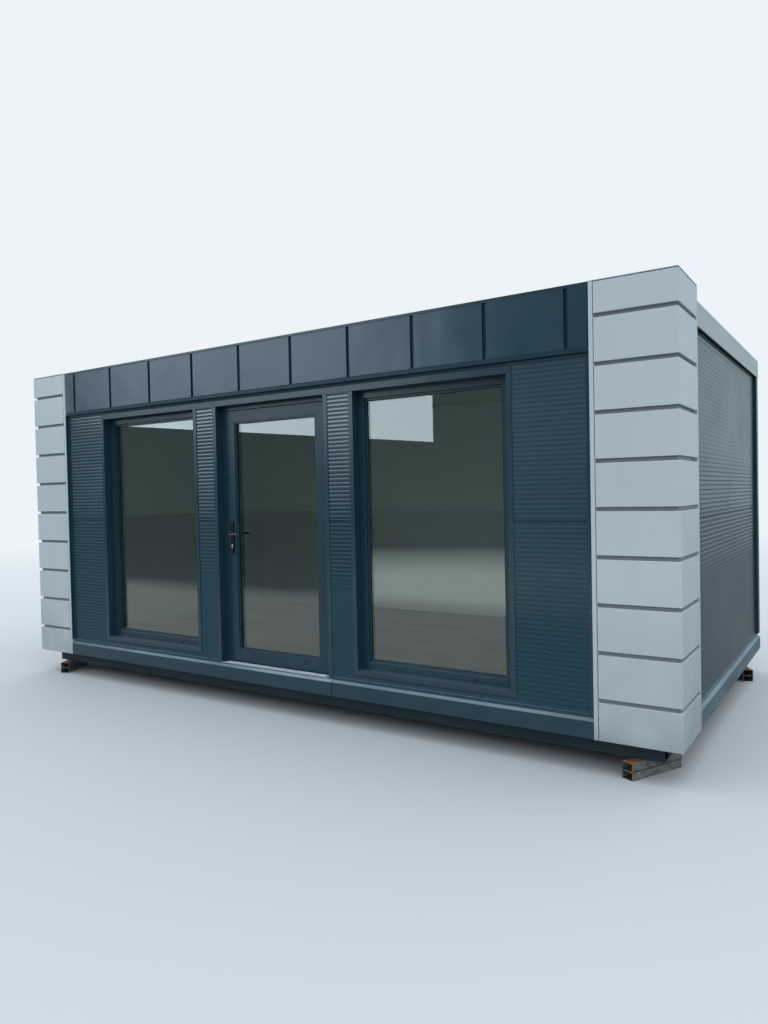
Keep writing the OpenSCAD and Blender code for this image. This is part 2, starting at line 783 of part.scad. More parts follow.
// Barrel hinges inside, at the right-hand jamb
hinge_x = jamb_x + flange_lap + hinge_r + 2;
hinge_y = flange_y + hinge_r;
hinge_levels = [leaf_z0 + 200, (leaf_z0 + leaf_z1) / 2, leaf_z1 - 200];
module hinge_frame_halves() {
    color(anthracite) for (z = hinge_levels) union() {
        translate([hinge_x, hinge_y, z - hinge_half]) cylinder(r = hinge_r, h = hinge_half);
        block([hinge_x, lining_y, z - hinge_half], [hinge_x + hinge_wing, lining_y + hinge_wing_t, z]);
        block([hinge_x, lining_y, z - hinge_half], [hinge_x + hinge_wing_t, hinge_y, z]);
        translate([hinge_x, hinge_y, z - 1]) cylinder(r = hinge_pin_r, h = hinge_half - 1);
    }
}
module hinge_leaf_halves() {
    z_up = hinge_gap;
    color(anthracite) for (z = hinge_levels) difference() {
        union() {
            translate([hinge_x, hinge_y, z + z_up]) cylinder(r = hinge_r, h = hinge_half);
            block([hinge_x - hinge_wing, leaf_back_y, z + z_up], [hinge_x, leaf_back_y + hinge_wing_t, z + z_up + hinge_half]);
            block([hinge_x - hinge_wing_t, hinge_y, z + z_up], [hinge_x, leaf_back_y + hinge_wing_t, z + z_up + hinge_half]);
        }
        translate([hinge_x, hinge_y, z]) cylinder(r = hinge_pin_r + hinge_gap, h = hinge_half + 2);
    }
}

support_tubes_lower();
support_tubes_upper();
base_rails_long();
base_crossmembers();
wall_plinth_long();
wall_plinth_sides();
floor_deck();
skirt_front();
skirt_sides();
skirt_rear();
front_wall_left_bay();
front_wall_left_pier();
front_wall_right_pier();
front_wall_right_bay();
front_wall_header();
front_wall_sills();
side_wall_left();
side_wall_right();
rear_wall();
rear_corner_trims();
lining_front();
lining_sides();
lining_rear();
ceiling();
roof_slab();
parapet_front();
parapet_returns();
roof_edge_sides();
roof_edge_rear();
fascia_carrier();
fascia_cassettes();
coping_front();
coping_corners();
pilaster_carriers_front();
pilaster_carriers_side();
pilaster_left_cassettes();
pilaster_right_cassettes();
pilaster_closures();
header_flashing();
opening_trims();
window_frame_left();
window_frame_right();
window_glass();
door_frame();
door_threshold();
door_leaf();
door_glass();
door_plates();
door_lever();
hinge_frame_halves();
hinge_leaf_halves();
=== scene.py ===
"""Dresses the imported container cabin: coatings, glass, seals, door fittings, rusty supports, studio."""
import math

import bmesh
import bpy
from bpy.props import FloatProperty, FloatVectorProperty, PointerProperty
from mathutils import Matrix, Vector


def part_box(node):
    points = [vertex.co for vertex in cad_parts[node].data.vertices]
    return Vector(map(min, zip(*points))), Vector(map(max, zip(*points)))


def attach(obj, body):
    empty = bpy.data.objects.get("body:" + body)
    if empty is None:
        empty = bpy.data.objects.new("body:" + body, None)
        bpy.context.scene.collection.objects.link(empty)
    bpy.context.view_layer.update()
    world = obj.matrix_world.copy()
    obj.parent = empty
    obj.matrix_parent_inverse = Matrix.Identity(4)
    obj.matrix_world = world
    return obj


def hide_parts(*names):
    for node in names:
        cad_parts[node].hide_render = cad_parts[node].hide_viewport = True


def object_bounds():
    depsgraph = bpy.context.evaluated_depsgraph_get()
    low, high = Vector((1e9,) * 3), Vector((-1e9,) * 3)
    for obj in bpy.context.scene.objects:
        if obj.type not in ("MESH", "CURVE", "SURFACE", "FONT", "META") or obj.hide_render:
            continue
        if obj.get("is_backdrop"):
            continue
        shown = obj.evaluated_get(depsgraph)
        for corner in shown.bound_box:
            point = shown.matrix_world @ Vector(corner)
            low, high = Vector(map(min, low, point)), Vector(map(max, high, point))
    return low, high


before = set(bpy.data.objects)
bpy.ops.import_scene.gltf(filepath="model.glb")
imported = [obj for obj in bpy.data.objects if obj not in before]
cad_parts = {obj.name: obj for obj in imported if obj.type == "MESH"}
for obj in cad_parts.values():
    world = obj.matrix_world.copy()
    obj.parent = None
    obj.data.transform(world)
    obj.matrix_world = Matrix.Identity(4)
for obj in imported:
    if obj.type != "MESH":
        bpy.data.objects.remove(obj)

bl_info = {
    "name": "Container Cabin Finish",
    "version": (1, 0, 0),
    "blender": (4, 5, 0),
    "location": "View3D > Sidebar > Cabin",
    "description": "Paints and fits out a container cabin with a glazed front",
    "category": "Object",
}


QUARTER = math.radians(90)
UPRIGHT = (QUARTER, 0.0, 0.0)
MERGE = 0.00002
GLASS_LAP = 0.012

# Painted highlight and shade of the ribs, and zones of the ribbed front wall where they and its painted
# sheen fade
RIB_PAINTED_LIGHT = (0.12, -0.36)
PIER_FADE, PIER_RIBS = (0.98, 1.16), 0.06
WALL_FADE, WALL_RIBS = (0.2, 1.5), 0.35
GLOSS_CHANGE = (1.2, 1.9)
# Heights below the drip strip where the clear coat fades out: painted shade under the fascia
PAINTED_SHADE_BELOW_DRIP = (-0.035, -0.010)

# Colours of the support tubes
SCALE_DARK, SCALE_PALE = (0.070, 0.080, 0.080), (0.28, 0.295, 0.280)
SAWN_DARK, SAWN_PALE = (0.045, 0.032, 0.026), (0.24, 0.17, 0.125)
TUBE_PAINTED_SHADE, TUBE_CRUMBS = (0.012, 0.010, 0.009), (0.62, 0.62, 0.58)

# Colours of the studio, as soft light, gloss and glass take them up
SOFT_LIGHT, SOFT_FLOOR = (0.86, 0.94, 1.0), (0.16, 0.17, 0.17)
MIRRORED_AHEAD = (0.12, 0.175, 0.17)
FLOOR_CLOSE, FLOOR_BEFORE = (0.13, 0.14, 0.145), (0.37, 0.365, 0.35)
FLOOR_LEFT, FLOOR_RIGHT, FLOOR_END = (0.06, 0.075, 0.075), (0.76, 0.80, 0.70), (0.05, 0.06, 0.06)
CARD_LIGHT = (0.78, 0.91, 1.0)

FINISHES = {
    "panel_coating": (
        "front_wall_left_bay", "front_wall_left_pier", "front_wall_right_pier",
        "front_wall_right_bay", "front_wall_sills"),
    "side_panel_coating": ("side_wall_left", "side_wall_right"),
    "rear_panel_coating": ("rear_wall",),
    "flashing_coating": ("skirt_front", "skirt_rear", "header_flashing", "coping_front"),
    "side_skirt_coating": ("skirt_sides",),
    "trim_coating": ("rear_corner_trims", "opening_trims", "pilaster_closures"),
    "frame_coating": (
        "window_frame_left", "window_frame_right", "door_frame", "door_leaf",
        "hinge_frame_halves", "hinge_leaf_halves"),
    "fascia_coating": ("fascia_cassettes",),
    "fascia_carrier_coating": ("fascia_carrier",),
    "cassette_coating": ("pilaster_left_cassettes", "pilaster_right_cassettes"),
    "strip_coating": ("pilaster_carriers_front", "pilaster_carriers_side"),
    "edge_coating": (
        "coping_corners", "roof_edge_sides", "roof_edge_rear", "parapet_front", "parapet_returns"),
    "roof_coating": ("roof_slab",),
    "lining_coating": ("lining_front", "lining_sides", "lining_rear", "ceiling"),
    "plank_floor": ("floor_deck",),
    # The header strip under the fascia takes the dark base coating as painted shade
    "base_coating_and_painted_shade": (
        "base_rails_long", "base_crossmembers", "wall_plinth_long", "wall_plinth_sides",
        "front_wall_header"),
    "support_rust": ("support_tubes_lower", "support_tubes_upper"),
    "anodised_threshold": ("door_threshold",),
    "black_fittings": ("door_plates",),
    "lever_coating": ("door_lever",),
    "cabin_glass": ("window_glass", "door_glass"),
}


def box(name):
    low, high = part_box(name)
    return Vector(low), Vector(high)


class CabinPaint(bpy.types.PropertyGroup):
    """Colours of the cabin, and the measures that its coatings follow"""
    panel: FloatVectorProperty(
        name="Ribbed panels", description="Coating of the ribbed walls",
        subtype="COLOR", size=3, min=0, max=1, default=(0.014, 0.052, 0.077))
    trim: FloatVectorProperty(
        name="Trims and frames", description="Coating of flashings, frames and the door",
        subtype="COLOR", size=3, min=0, max=1, default=(0.012, 0.040, 0.060))
    fascia: FloatVectorProperty(
        name="Fascia", description="Coating of the fascia cassettes",
        subtype="COLOR", size=3, min=0, max=1, default=(0.015, 0.048, 0.071))
    cassette: FloatVectorProperty(
        name="Pilasters", description="Coating of the pilaster cassettes",
        subtype="COLOR", size=3, min=0, max=1, default=(0.50, 0.56, 0.59))
    lining: FloatVectorProperty(
        name="Lining", description="Paint of the room's walls and ceiling",
        subtype="COLOR", size=3, min=0, max=1, default=(0.74, 0.76, 0.74))
    floor: FloatVectorProperty(
        name="Floor covering", description="Main colour of the floor covering",
        subtype="COLOR", size=3, min=0, max=1, default=(0.29, 0.22, 0.18))
    glass: FloatVectorProperty(
        name="Glass tint", description="Tint of the sealed glass units",
        subtype="COLOR", size=3, min=0, max=1, default=(0.68, 0.78, 0.745))
    rust: FloatVectorProperty(
        name="Rust", description="Bright rust on the support tubes",
        subtype="COLOR", size=3, min=0, max=1, default=(0.46, 0.20, 0.055))
    rib_depth: FloatProperty(
        name="Rib depth", description="Depth of the ribs in the wall panels",
        subtype="DISTANCE", default=0.0015, min=0.0005, max=0.003)
    fascia_module: FloatProperty(
        name="Fascia module", description="Distance between the joints of the fascia cassettes",
        subtype="DISTANCE", default=0.5313, min=0.3, max=0.9)
    pilaster_module: FloatProperty(
        name="Pilaster module", description="Distance between the joints of the pilaster cassettes",
        subtype="DISTANCE", default=0.28, min=0.2, max=0.5)
    pilaster_joint: FloatProperty(
        name="Lowest pilaster joint", description="Height of the lowest joint of the pilaster cassettes",
        subtype="DISTANCE", default=0.4455, min=0.3, max=0.6)


class CabinFittings(bpy.types.PropertyGroup):
    """Measures of the pieces that the scene adds"""
    fold_radius: FloatProperty(
        name="Sheet fold radius", description="Rounding of the folded sheet edges",
        subtype="DISTANCE", default=0.0022, min=0.0005, max=0.006)
    seal_width: FloatProperty(
        name="Seal width", description="Visible width of the rubber glazing seals",
        subtype="DISTANCE", default=0.004, min=0.002, max=0.008)
    spacer_width: FloatProperty(
        name="Spacer width", description="Visible width of the spacer bars in the glass units",
        subtype="DISTANCE", default=0.007, min=0.003, max=0.012)
    tube_width: FloatProperty(
        name="Support tube width", description="Outer width of the support tubes",
        subtype="DISTANCE", default=0.080, min=0.05, max=0.12)
    tube_height: FloatProperty(
        name="Support tube height", description="Outer height of the support tubes",
        subtype="DISTANCE", default=0.050, min=0.03, max=0.08)
    tube_length: FloatProperty(
        name="Support tube length", description="Length of the support tubes",
        subtype="DISTANCE", default=0.420, min=0.3, max=0.6)
    tube_turn: FloatProperty(
        name="Support tube turn", description="Turn of the support tubes out of the cabin's depth",
        subtype="ANGLE", default=math.radians(27.0))
    rib_height: FloatProperty(
        name="Threshold rib height", description="Height of the ribs on the threshold",
        subtype="DISTANCE", default=0.003, min=0.001, max=0.006)


class CabinStage(bpy.types.PropertyGroup):
    """The camera, the light and the floor of the studio"""
    eye: FloatVectorProperty(
        name="Camera place", description="Where the camera stands",
        subtype="TRANSLATION", unit="LENGTH", size=3, default=(3.9347, -5.9286, 1.6807))
    yaw: FloatProperty(
        name="Camera turn", description="Turn of the camera from the cabin's depth, to the left",
        subtype="ANGLE", default=math.radians(33.4557))
    pitch: FloatProperty(
        name="Camera tilt", description="Tilt of the camera below the horizon",
        subtype="ANGLE", default=math.radians(1.3783))
    roll: FloatProperty(
        name="Camera roll", description="Turn of the camera about its view",
        subtype="ANGLE", default=math.radians(-1.2026))
    lens: FloatProperty(
        name="Lens", description="Focal length for a 36 mm long side",
        subtype="DISTANCE_CAMERA", default=26.373, min=10, max=100)
    backdrop: FloatVectorProperty(
        name="Backdrop", description="Pale colour of the studio behind the cabin",
        subtype="COLOR", size=3, min=0, max=1, default=(0.84, 0.90, 0.95))
    mirror_level: FloatVectorProperty(
        name="Mirrored surroundings", description="Colour of the surroundings in the cabin's gloss",
        subtype="COLOR", size=3, min=0, max=1, default=(0.43, 0.55, 0.59))
    world_level: FloatProperty(
        name="Room light", description="Level of the soft light from all round",
        default=1.1, min=0, max=3)
    panel_level: FloatProperty(
        name="Side panel", description="Brightness of the tall light panel at the front left",
        default=3.2, min=0, max=10)
    floor_tone: FloatVectorProperty(
        name="Studio floor", description="Colour of the floor near the cabin",
        subtype="COLOR", size=3, min=0, max=1, default=(0.42, 0.44, 0.46))
    floor_size: FloatProperty(
        name="Floor size", description="Half width of the studio floor",
        subtype="DISTANCE", default=60.0, min=10, max=200)


# Nodes of the finishes

def feed(tree, target, sockets):
    """Gives a node's sockets what they take: another node's output, a number, a colour or a vector."""
    for label, value in dict(sockets).items():
        socket = target.inputs[label]
        if isinstance(value, bpy.types.NodeSocket):
            tree.links.new(value, socket)
        elif socket.type == "RGBA":
            socket.default_value = (*value, 1.0)
        else:
            socket.default_value = value


def node(tree, kind, sockets=(), **settings):
    made = tree.nodes.new(kind)
    for key, value in settings.items():
        setattr(made, key, value)
    feed(tree, made, sockets)
    return made


def finish_group(name, inputs, outputs):
    """A shader node group: its tree, what it is given, and the node that takes its results."""
    tree = bpy.data.node_groups.new(name, "ShaderNodeTree")
    for label, value in inputs.items():
        kind = "NodeSocketColor" if isinstance(value, tuple) else "NodeSocketFloat"
        socket = tree.interface.new_socket(name=label, in_out="INPUT", socket_type=kind)
        socket.default_value = value
    for label, kind in outputs.items():
        tree.interface.new_socket(name=label, in_out="OUTPUT", socket_type=kind)
    return tree, node(tree, "NodeGroupInput").outputs, node(tree, "NodeGroupOutput")


def maths(tree, operation, *values, clamp=False):
    return node(tree, "ShaderNodeMath", enumerate(values), operation=operation, use_clamp=clamp).outputs[0]


def times(tree, product, *values):
    for value in values:
        product = maths(tree, "MULTIPLY", product, value)
    return product


def plus(tree, total, *values):
    for value in values:
        total = maths(tree, "ADD", total, value)
    return total


def spread(tree, value, low, high, to_low=0.0, to_high=1.0):
    """Carries the stretch from low to high over to another stretch, and holds its ends."""
    return node(
        tree, "ShaderNodeMapRange",
        {"Value": value, "From Min": low, "From Max": high, "To Min": to_low, "To Max": to_high},
        clamp=True).outputs[0]


def coordinates(tree, label="Object"):
    return node(tree, "ShaderNodeTexCoord").outputs[label]


def axes(tree, label="Object"):
    return node(tree, "ShaderNodeSeparateXYZ", {0: coordinates(tree, label)}).outputs


def noise(tree, place, scale, detail=3.0, roughness=0.55, stretch=None):
    if stretch:
        place = node(tree, "ShaderNodeMapping", {"Vector": place, "Scale": stretch}).outputs[0]
    return node(
        tree, "ShaderNodeTexNoise",
        {"Vector": place, "Scale": scale, "Detail": detail, "Roughness": roughness}).outputs["Fac"]


def blend(tree, share, first, second):
    """One colour, and another where the share is 1."""
    return node(tree, "ShaderNodeMix", {0: share, 6: first, 7: second}, data_type="RGBA").outputs[2]


def scaled(tree, colour, amount):
    return node(tree, "ShaderNodeVectorMath", {0: colour, "Scale": amount}, operation="SCALE").outputs[0]


def bumped(tree, height, distance, strength=1.0):
    """The surface's direction, tipped by a height."""
    return node(
        tree, "ShaderNodeBump",
        {"Strength": strength, "Distance": distance, "Height": height}).outputs["Normal"]


def toned(colour, share):
    return tuple(min(1.0, value * share) for value in colour)


def shader(name):
    """A new material: its tree and its main shader."""
    material = bpy.data.materials.new(name)
    material.use_nodes = True
    return material.node_tree, material.node_tree.nodes["Principled BSDF"]


def show(tree, share, first, second):
    """Shows one shader on the surface, and another where the share is 1."""
    mixed = node(tree, "ShaderNodeMixShader", {0: share, 1: first.outputs[0], 2: second.outputs[0]})
    feed(tree, tree.nodes["Material Output"], {"Surface": mixed.outputs[0]})


# Finishes

def weather_group():
    """Dust that settles low down and rain streaks, over a base colour."""
    tree, given, result = finish_group(
        "weathered_coat",
        {"Base": (0.5, 0.5, 0.5, 1.0), "Dust": (0.45, 0.43, 0.40, 1.0), "Amount": 0.3, "Settled": 0.1,
         "Shade": 0.06, "Streaks": 0.22, "Tone": 1.0, "Roughness": 0.35},
        {"Color": "NodeSocketColor", "Roughness": "NodeSocketFloat"})
    place = coordinates(tree)
    low = maths(tree, "POWER", spread(tree, axes(tree)["Z"], 0.15, 1.3, 1.0, 0.0), 2.2)
    patch = spread(tree, noise(tree, place, 2.2, 4.0), 0.35, 0.7)
    streak = spread(tree, noise(tree, place, 9.0, 3.0, 0.6, (1.0, 1.0, 0.07)), 0.5, 0.78)
    speck = spread(tree, noise(tree, place, 160.0, 2.0, 0.7), 0.62, 0.74)
    hanging = plus(
        tree, times(tree, low, plus(tree, times(tree, patch, 0.7), 0.3)),
        times(tree, streak, given["Streaks"]), times(tree, speck, patch, 0.25))
    lying = times(
        tree, spread(tree, axes(tree, "Normal")["Z"], 0.5, 0.95), given["Settled"],
        plus(tree, times(tree, patch, 0.5), 0.5))
    dust = maths(tree, "ADD", times(tree, hanging, given["Amount"]), lying, clamp=True)
    shade = spread(tree, noise(tree, place, 0.9, 3.0), 0.3, 0.7, -1.0, 1.0)
    tone = plus(tree, times(tree, shade, given["Shade"]), given["Tone"])
    rough = plus(tree, given["Roughness"], times(tree, dust, 0.35))
    uneven = times(tree, maths(tree, "SUBTRACT", patch, 0.5), 0.06)
    feed(tree, result, {
        "Color": blend(tree, dust, scaled(tree, given["Base"], tone), given["Dust"]),
        "Roughness": maths(tree, "ADD", rough, uneven, clamp=True)})


def sheet_group():
    """Height of rolled sheet: orange peel of the coating and slow waves of a thin sheet."""
    tree, given, result = finish_group(
        "rolled_sheet", {"Waves": 1.0, "Folds": 0.0}, {"Height": "NodeSocketFloat"})
    place = coordinates(tree)
    peel = times(tree, noise(tree, place, 420.0, 2.0), 0.00004)
    waves = times(tree, noise(tree, place, 3.5, 1.0), given["Waves"], 0.004)
    feed(tree, result, {"Height": plus(tree, peel, waves, given["Folds"])})


def own_cassettes(tree, coat, sheet, axis, joint, module, share):
    """Gives every cassette its own tone and tilt."""
    step = maths(tree, "DIVIDE", maths(tree, "SUBTRACT", axes(tree)[axis], joint), module)
    chance = node(
        tree, "ShaderNodeTexWhiteNoise", {"W": maths(tree, "FLOOR", step)},
        noise_dimensions="1D").outputs["Value"]
    across = maths(tree, "SUBTRACT", maths(tree, "FRACT", step), 0.5)
    tilt = maths(tree, "SUBTRACT", chance, 0.5)
    feed(tree, sheet, {"Folds": times(tree, across, tilt, 0.010 * module)})
    feed(tree, coat, {"Tone": spread(tree, chance, 0.0, 1.0, 1.0 - share, 1.0 + share)})


def painted_joint_shade(tree, coat, y_from, y_to, x_from, x_to, share):
    """Painted shade: darkens the joint floors behind the cassettes, where the cassettes shade them."""
    parts = axes(tree)
    wide = maths(tree, "ABSOLUTE", parts["X"])
    inside = times(
        tree, maths(tree, "GREATER_THAN", parts["Y"], y_from), maths(tree, "LESS_THAN", parts["Y"], y_to),
        maths(tree, "GREATER_THAN", wide, x_from), maths(tree, "LESS_THAN", wide, x_to))
    feed(tree, coat, {"Tone": spread(tree, inside, 0.0, 1.0, 1.0, share)})


def rib_clearness(tree, parts, reach):
    """How clearly the ribs show: little near the foot, and least on the lower piers."""
    off_pier = spread(tree, maths(tree, "ABSOLUTE", parts["X"]), reach, reach + 0.05)
    up_pier = spread(tree, parts["Z"], *PIER_FADE, PIER_RIBS, 1.0)
    up_wall = spread(tree, parts["Z"], *WALL_FADE, WALL_RIBS, 1.0)
    return maths(tree, "MINIMUM", plus(tree, off_pier, up_pier), up_wall)


def painted_front_sheen(tree, parts, crest, floor, low, high):
    """Painted sheen of the front wall's clear coat: bright on high crests, faint and even at the right."""
    bright = times(
        tree, spread(tree, parts["Z"], low, high), spread(tree, parts["Y"], crest, floor, 1.0, 0.2),
        spread(tree, parts["X"], *GLOSS_CHANGE, 1.0, 0.0))
    even = times(tree, spread(tree, parts["Z"], 0.7, 1.2), spread(tree, parts["X"], *GLOSS_CHANGE, 0.0, 0.3))
    # No clear coat just below the drip strip: painted shade under the fascia
    drip = box("fascia_carrier")[0].z
    fade = (drip + offset for offset in PAINTED_SHADE_BELOW_DRIP)
    return times(tree, plus(tree, bright, even), spread(tree, parts["Z"], *fade, 1.0, 0.0))


def level_normal(tree, normal, clear):
    """Levels the front faces to the wall's own direction where the ribs hardly show."""
    facing = spread(tree, axes(tree, "Normal")["Y"], -0.3, -0.1)
    return node(
        tree, "ShaderNodeMix", {0: maths(tree, "MAXIMUM", clear, facing), 4: (0.0, -1.0, 0.0), 5: normal},
        data_type="VECTOR").outputs[1]


def coated(name, colour, roughness, dust=0.3, settled=0.1, shade=0.06, streaks=0.22, waves=1.0,
           specular=0.5, cells=None, joint_floor_shade=None, grooves=None, sheen_and_fade=None, dust_colour=(0.30, 0.29, 0.27)):
    """Coil coated sheet metal.

    cells is (axis, middle of a joint, module, share): every cassette gets its own tone and tilt.
    joint_floor_shade is (y from, y to, x from, x to, share): painted shade on the joint floors behind the
    cassettes.
    grooves is (axis, crest, floor): painted highlight on the rib crests, painted shade on their floors.
    sheen_and_fade is (low, high, reach): the clear coat, a painted sheen, shows above a height; near the
    foot the ribs' painted light and shading fade, most of all within reach of the cabin's middle.
    """
    tree, bsdf = shader(name)
    groups = bpy.data.node_groups
    coat = node(
        tree, "ShaderNodeGroup",
        {"Base": colour, "Dust": dust_colour, "Amount": dust, "Settled": settled, "Shade": shade,
         "Streaks": streaks, "Roughness": roughness}, node_tree=groups["weathered_coat"])
    sheet = node(tree, "ShaderNodeGroup", {"Waves": waves}, node_tree=groups["rolled_sheet"])
    normal = bumped(tree, sheet.outputs["Height"], 1.0)
    if cells:
        own_cassettes(tree, coat, sheet, *cells)
    if joint_floor_shade:
        painted_joint_shade(tree, coat, *joint_floor_shade)
    if grooves:
        axis, crest, floor = grooves
        parts = axes(tree)
        depth = maths(tree, "ABSOLUTE", parts["X"]) if axis == "X" else parts[axis]
        # Painted highlight on the rib crests and painted shade on their floors, as a change of tone
        painted_rib_light = spread(tree, depth, crest, floor, *RIB_PAINTED_LIGHT)
        if sheen_and_fade:
            low, high, reach = sheen_and_fade
            clear = rib_clearness(tree, parts, reach)
            # The painted rib light fades with the ribs, and is stronger on the piers and the left bay
            painted_rib_light = times(tree, painted_rib_light, clear, spread(tree, parts["X"], *GLOSS_CHANGE, 1.7, 1.0))
            normal = level_normal(tree, normal, clear)
            # The coat's weight is a painted sheen, set by height and place on the front
            feed(tree, bsdf, {
                "Coat Weight": painted_front_sheen(tree, parts, crest, floor, low, high),
                "Coat Roughness": 0.13, "Coat IOR": 1.75})
        feed(tree, coat, {"Tone": plus(tree, painted_rib_light, 1.0)})
    feed(tree, bsdf, {
        "Base Color": coat.outputs["Color"], "Roughness": coat.outputs["Roughness"], "Normal": normal,
        "Specular IOR Level": specular})


def metal(name, colour, roughness):
    """Bare metal with fine rolling lines."""
    tree, bsdf = shader(name)
    grain = noise(tree, coordinates(tree), 60.0, 3.0, 0.6, (0.4, 9.0, 9.0))
    feed(tree, bsdf, {
        "Base Color": blend(tree, spread(tree, grain, 0.3, 0.75), colour, toned(colour, 0.72)),
        "Roughness": spread(tree, grain, 0.3, 0.7, roughness - 0.06, roughness + 0.12), "Metallic": 1.0})


def planks(colour):
    """Brown plank floor covering, laid along the cabin."""
    tree, bsdf = shader("plank_floor")
    place = coordinates(tree)
    boards = node(
        tree, "ShaderNodeTexBrick",
        {"Vector": place, "Scale": 1.0, "Brick Width": 1.28, "Row Height": 0.19, "Mortar Size": 0.0015,
         "Mortar Smooth": 0.1, "Bias": 0.0, "Color1": toned(colour, 0.82), "Color2": toned(colour, 1.18),
         "Mortar": toned(colour, 0.3)}, offset=0.37, offset_frequency=2, squash=1.0)
    grain = spread(tree, noise(tree, place, 7.0, 5.0, 0.65, (1.0, 12.0, 1.0)), 0.3, 0.7, 0.78, 1.15)
    seams = maths(tree, "SUBTRACT", 1.0, boards.outputs["Fac"])
    feed(tree, bsdf, {
        "Base Color": scaled(tree, boards.outputs["Color"], grain), "Roughness": 0.42,
        "Normal": bumped(tree, seams, 0.0008, 0.6)})


def rusty_steel(rust, tube_height):
    """Grey mill scale on the tubes' sides, orange rust on top of the stack, sawn ends, painted shade inside.
    """
    tree, bsdf = shader("support_rust")
    place = coordinates(tree)
    facing = axes(tree, "Normal")
    upward = spread(tree, facing["Z"], 0.3, 0.8)
    top = times(tree, upward, maths(tree, "GREATER_THAN", axes(tree)["Z"], 1.7 * tube_height))
    # Painted shade: faces up inside and between the tubes turn near black
    hidden_shade = times(tree, maths(tree, "SUBTRACT", upward, top), 0.85)
    sawn = spread(tree, maths(tree, "ABSOLUTE", facing["Y"]), 0.6, 0.8)
    patch = noise(tree, place, 9.0, 5.0, 0.65)
    open_side = maths(tree, "MAXIMUM", times(tree, top, spread(tree, patch, 0.3, 0.5)), sawn)
    amount = maths(tree, "MAXIMUM", open_side, spread(tree, patch, 0.58, 0.70, 0.0, 0.8))
    fine = spread(tree, noise(tree, place, 70.0, 5.0, 0.7), 0.38, 0.62)
    scale = spread(tree, noise(tree, place, 30.0, 4.0, 0.7), 0.35, 0.7)
    rusty = blend(tree, fine, toned(rust, 0.4), rust)
    rusty = blend(tree, sawn, rusty, blend(tree, fine, SAWN_DARK, SAWN_PALE))
    steel = blend(tree, amount, blend(tree, scale, SCALE_DARK, SCALE_PALE), rusty)
    crumbs = times(tree, spread(tree, noise(tree, place, 110.0, 2.0, 0.5), 0.66, 0.70), top)
    feed(tree, bsdf, {
        "Base Color": blend(tree, crumbs, blend(tree, hidden_shade, steel, TUBE_PAINTED_SHADE), TUBE_CRUMBS),
        "Roughness": spread(tree, amount, 0.0, 1.0, 0.38, 0.88),
        "Normal": bumped(tree, times(tree, fine, plus(tree, amount, 0.2)), 0.0012)})


def clear_glass(tint):
    """Tinted glass that lets light through to the room."""
    tree, bsdf = shader("cabin_glass")
    feed(tree, bsdf, {"Base Color": tint, "Transmission Weight": 1.0, "Roughness": 0.0, "IOR": 1.85})
    clear = node(tree, "ShaderNodeBsdfTransparent", {"Color": tuple(math.sqrt(value) for value in tint)})
    show(tree, node(tree, "ShaderNodeLightPath").outputs["Is Shadow Ray"], bsdf, clear)


def wall_coatings(paint):
    """Coatings of the ribbed walls, whose ribs run in from their crests."""
    depth = paint.rib_depth
    crest = box("front_wall_right_bay")[0].y
    # The clear coat's painted sheen grows from 1.45 m to 1.95 m; the piers reach to the right pier's edge
    sheen_and_fade = (1.45, 1.95, box("front_wall_right_pier")[1].x)
    coated("panel_coating", paint.panel, 0.40, dust=0.04, waves=0.2, specular=0.22,
           grooves=("Y", crest, crest + depth), sheen_and_fade=sheen_and_fade)
    crest = box("side_wall_right")[1].x
    coated("side_panel_coating", paint.trim, 0.20, dust=0.20, waves=0.2, specular=0.6,
           grooves=("X", crest, crest - depth))
    crest = box("rear_wall")[1].y
    coated("rear_panel_coating", paint.trim, 0.26, dust=0.05, waves=0.2, specular=0.45,
           grooves=("Y", crest, crest - depth))


def dark_coatings(paint):
    """Coatings of the flashings, trims, frames and the fascia."""
    # Bluish pale on up-facing ledges and the side skirts: dust, and a painted highlight of the sky lighting
    # them
    dust_and_painted_sky = (0.32, 0.42, 0.48)
    behind_cassettes = box("pilaster_right_cassettes")[0].y + 0.012
    module = paint.fascia_module
    coated("flashing_coating", paint.trim, 0.26, dust=0.03, settled=0.9, waves=0.12, specular=0.42,
           dust_colour=dust_and_painted_sky)
    coated("side_skirt_coating", paint.trim, 0.26, dust=0.55, settled=0.3, waves=0.12, dust_colour=dust_and_painted_sky)
    coated("trim_coating", paint.trim, 0.26, dust=0.02, settled=0.12, waves=0.1)
    coated("frame_coating", paint.trim, 0.30, dust=0.02, waves=0.1, specular=0.36)
    coated("fascia_coating", paint.fascia, 0.24, dust=0.03, waves=1.3,
           cells=("X", 0.5 * module, module, 0.06))
    # Painted shade on the joint floors behind the fascia cassettes
    coated("fascia_carrier_coating", paint.trim, 0.36, dust=0.03, waves=0.3, specular=0.16,
           joint_floor_shade=(behind_cassettes, 0.0, -1.0, 9.0, 0.6))
    # Also painted shade on the wall header under the fascia
    coated("base_coating_and_painted_shade", (0.010, 0.034, 0.050), 0.5, dust=0.08, specular=0.2)


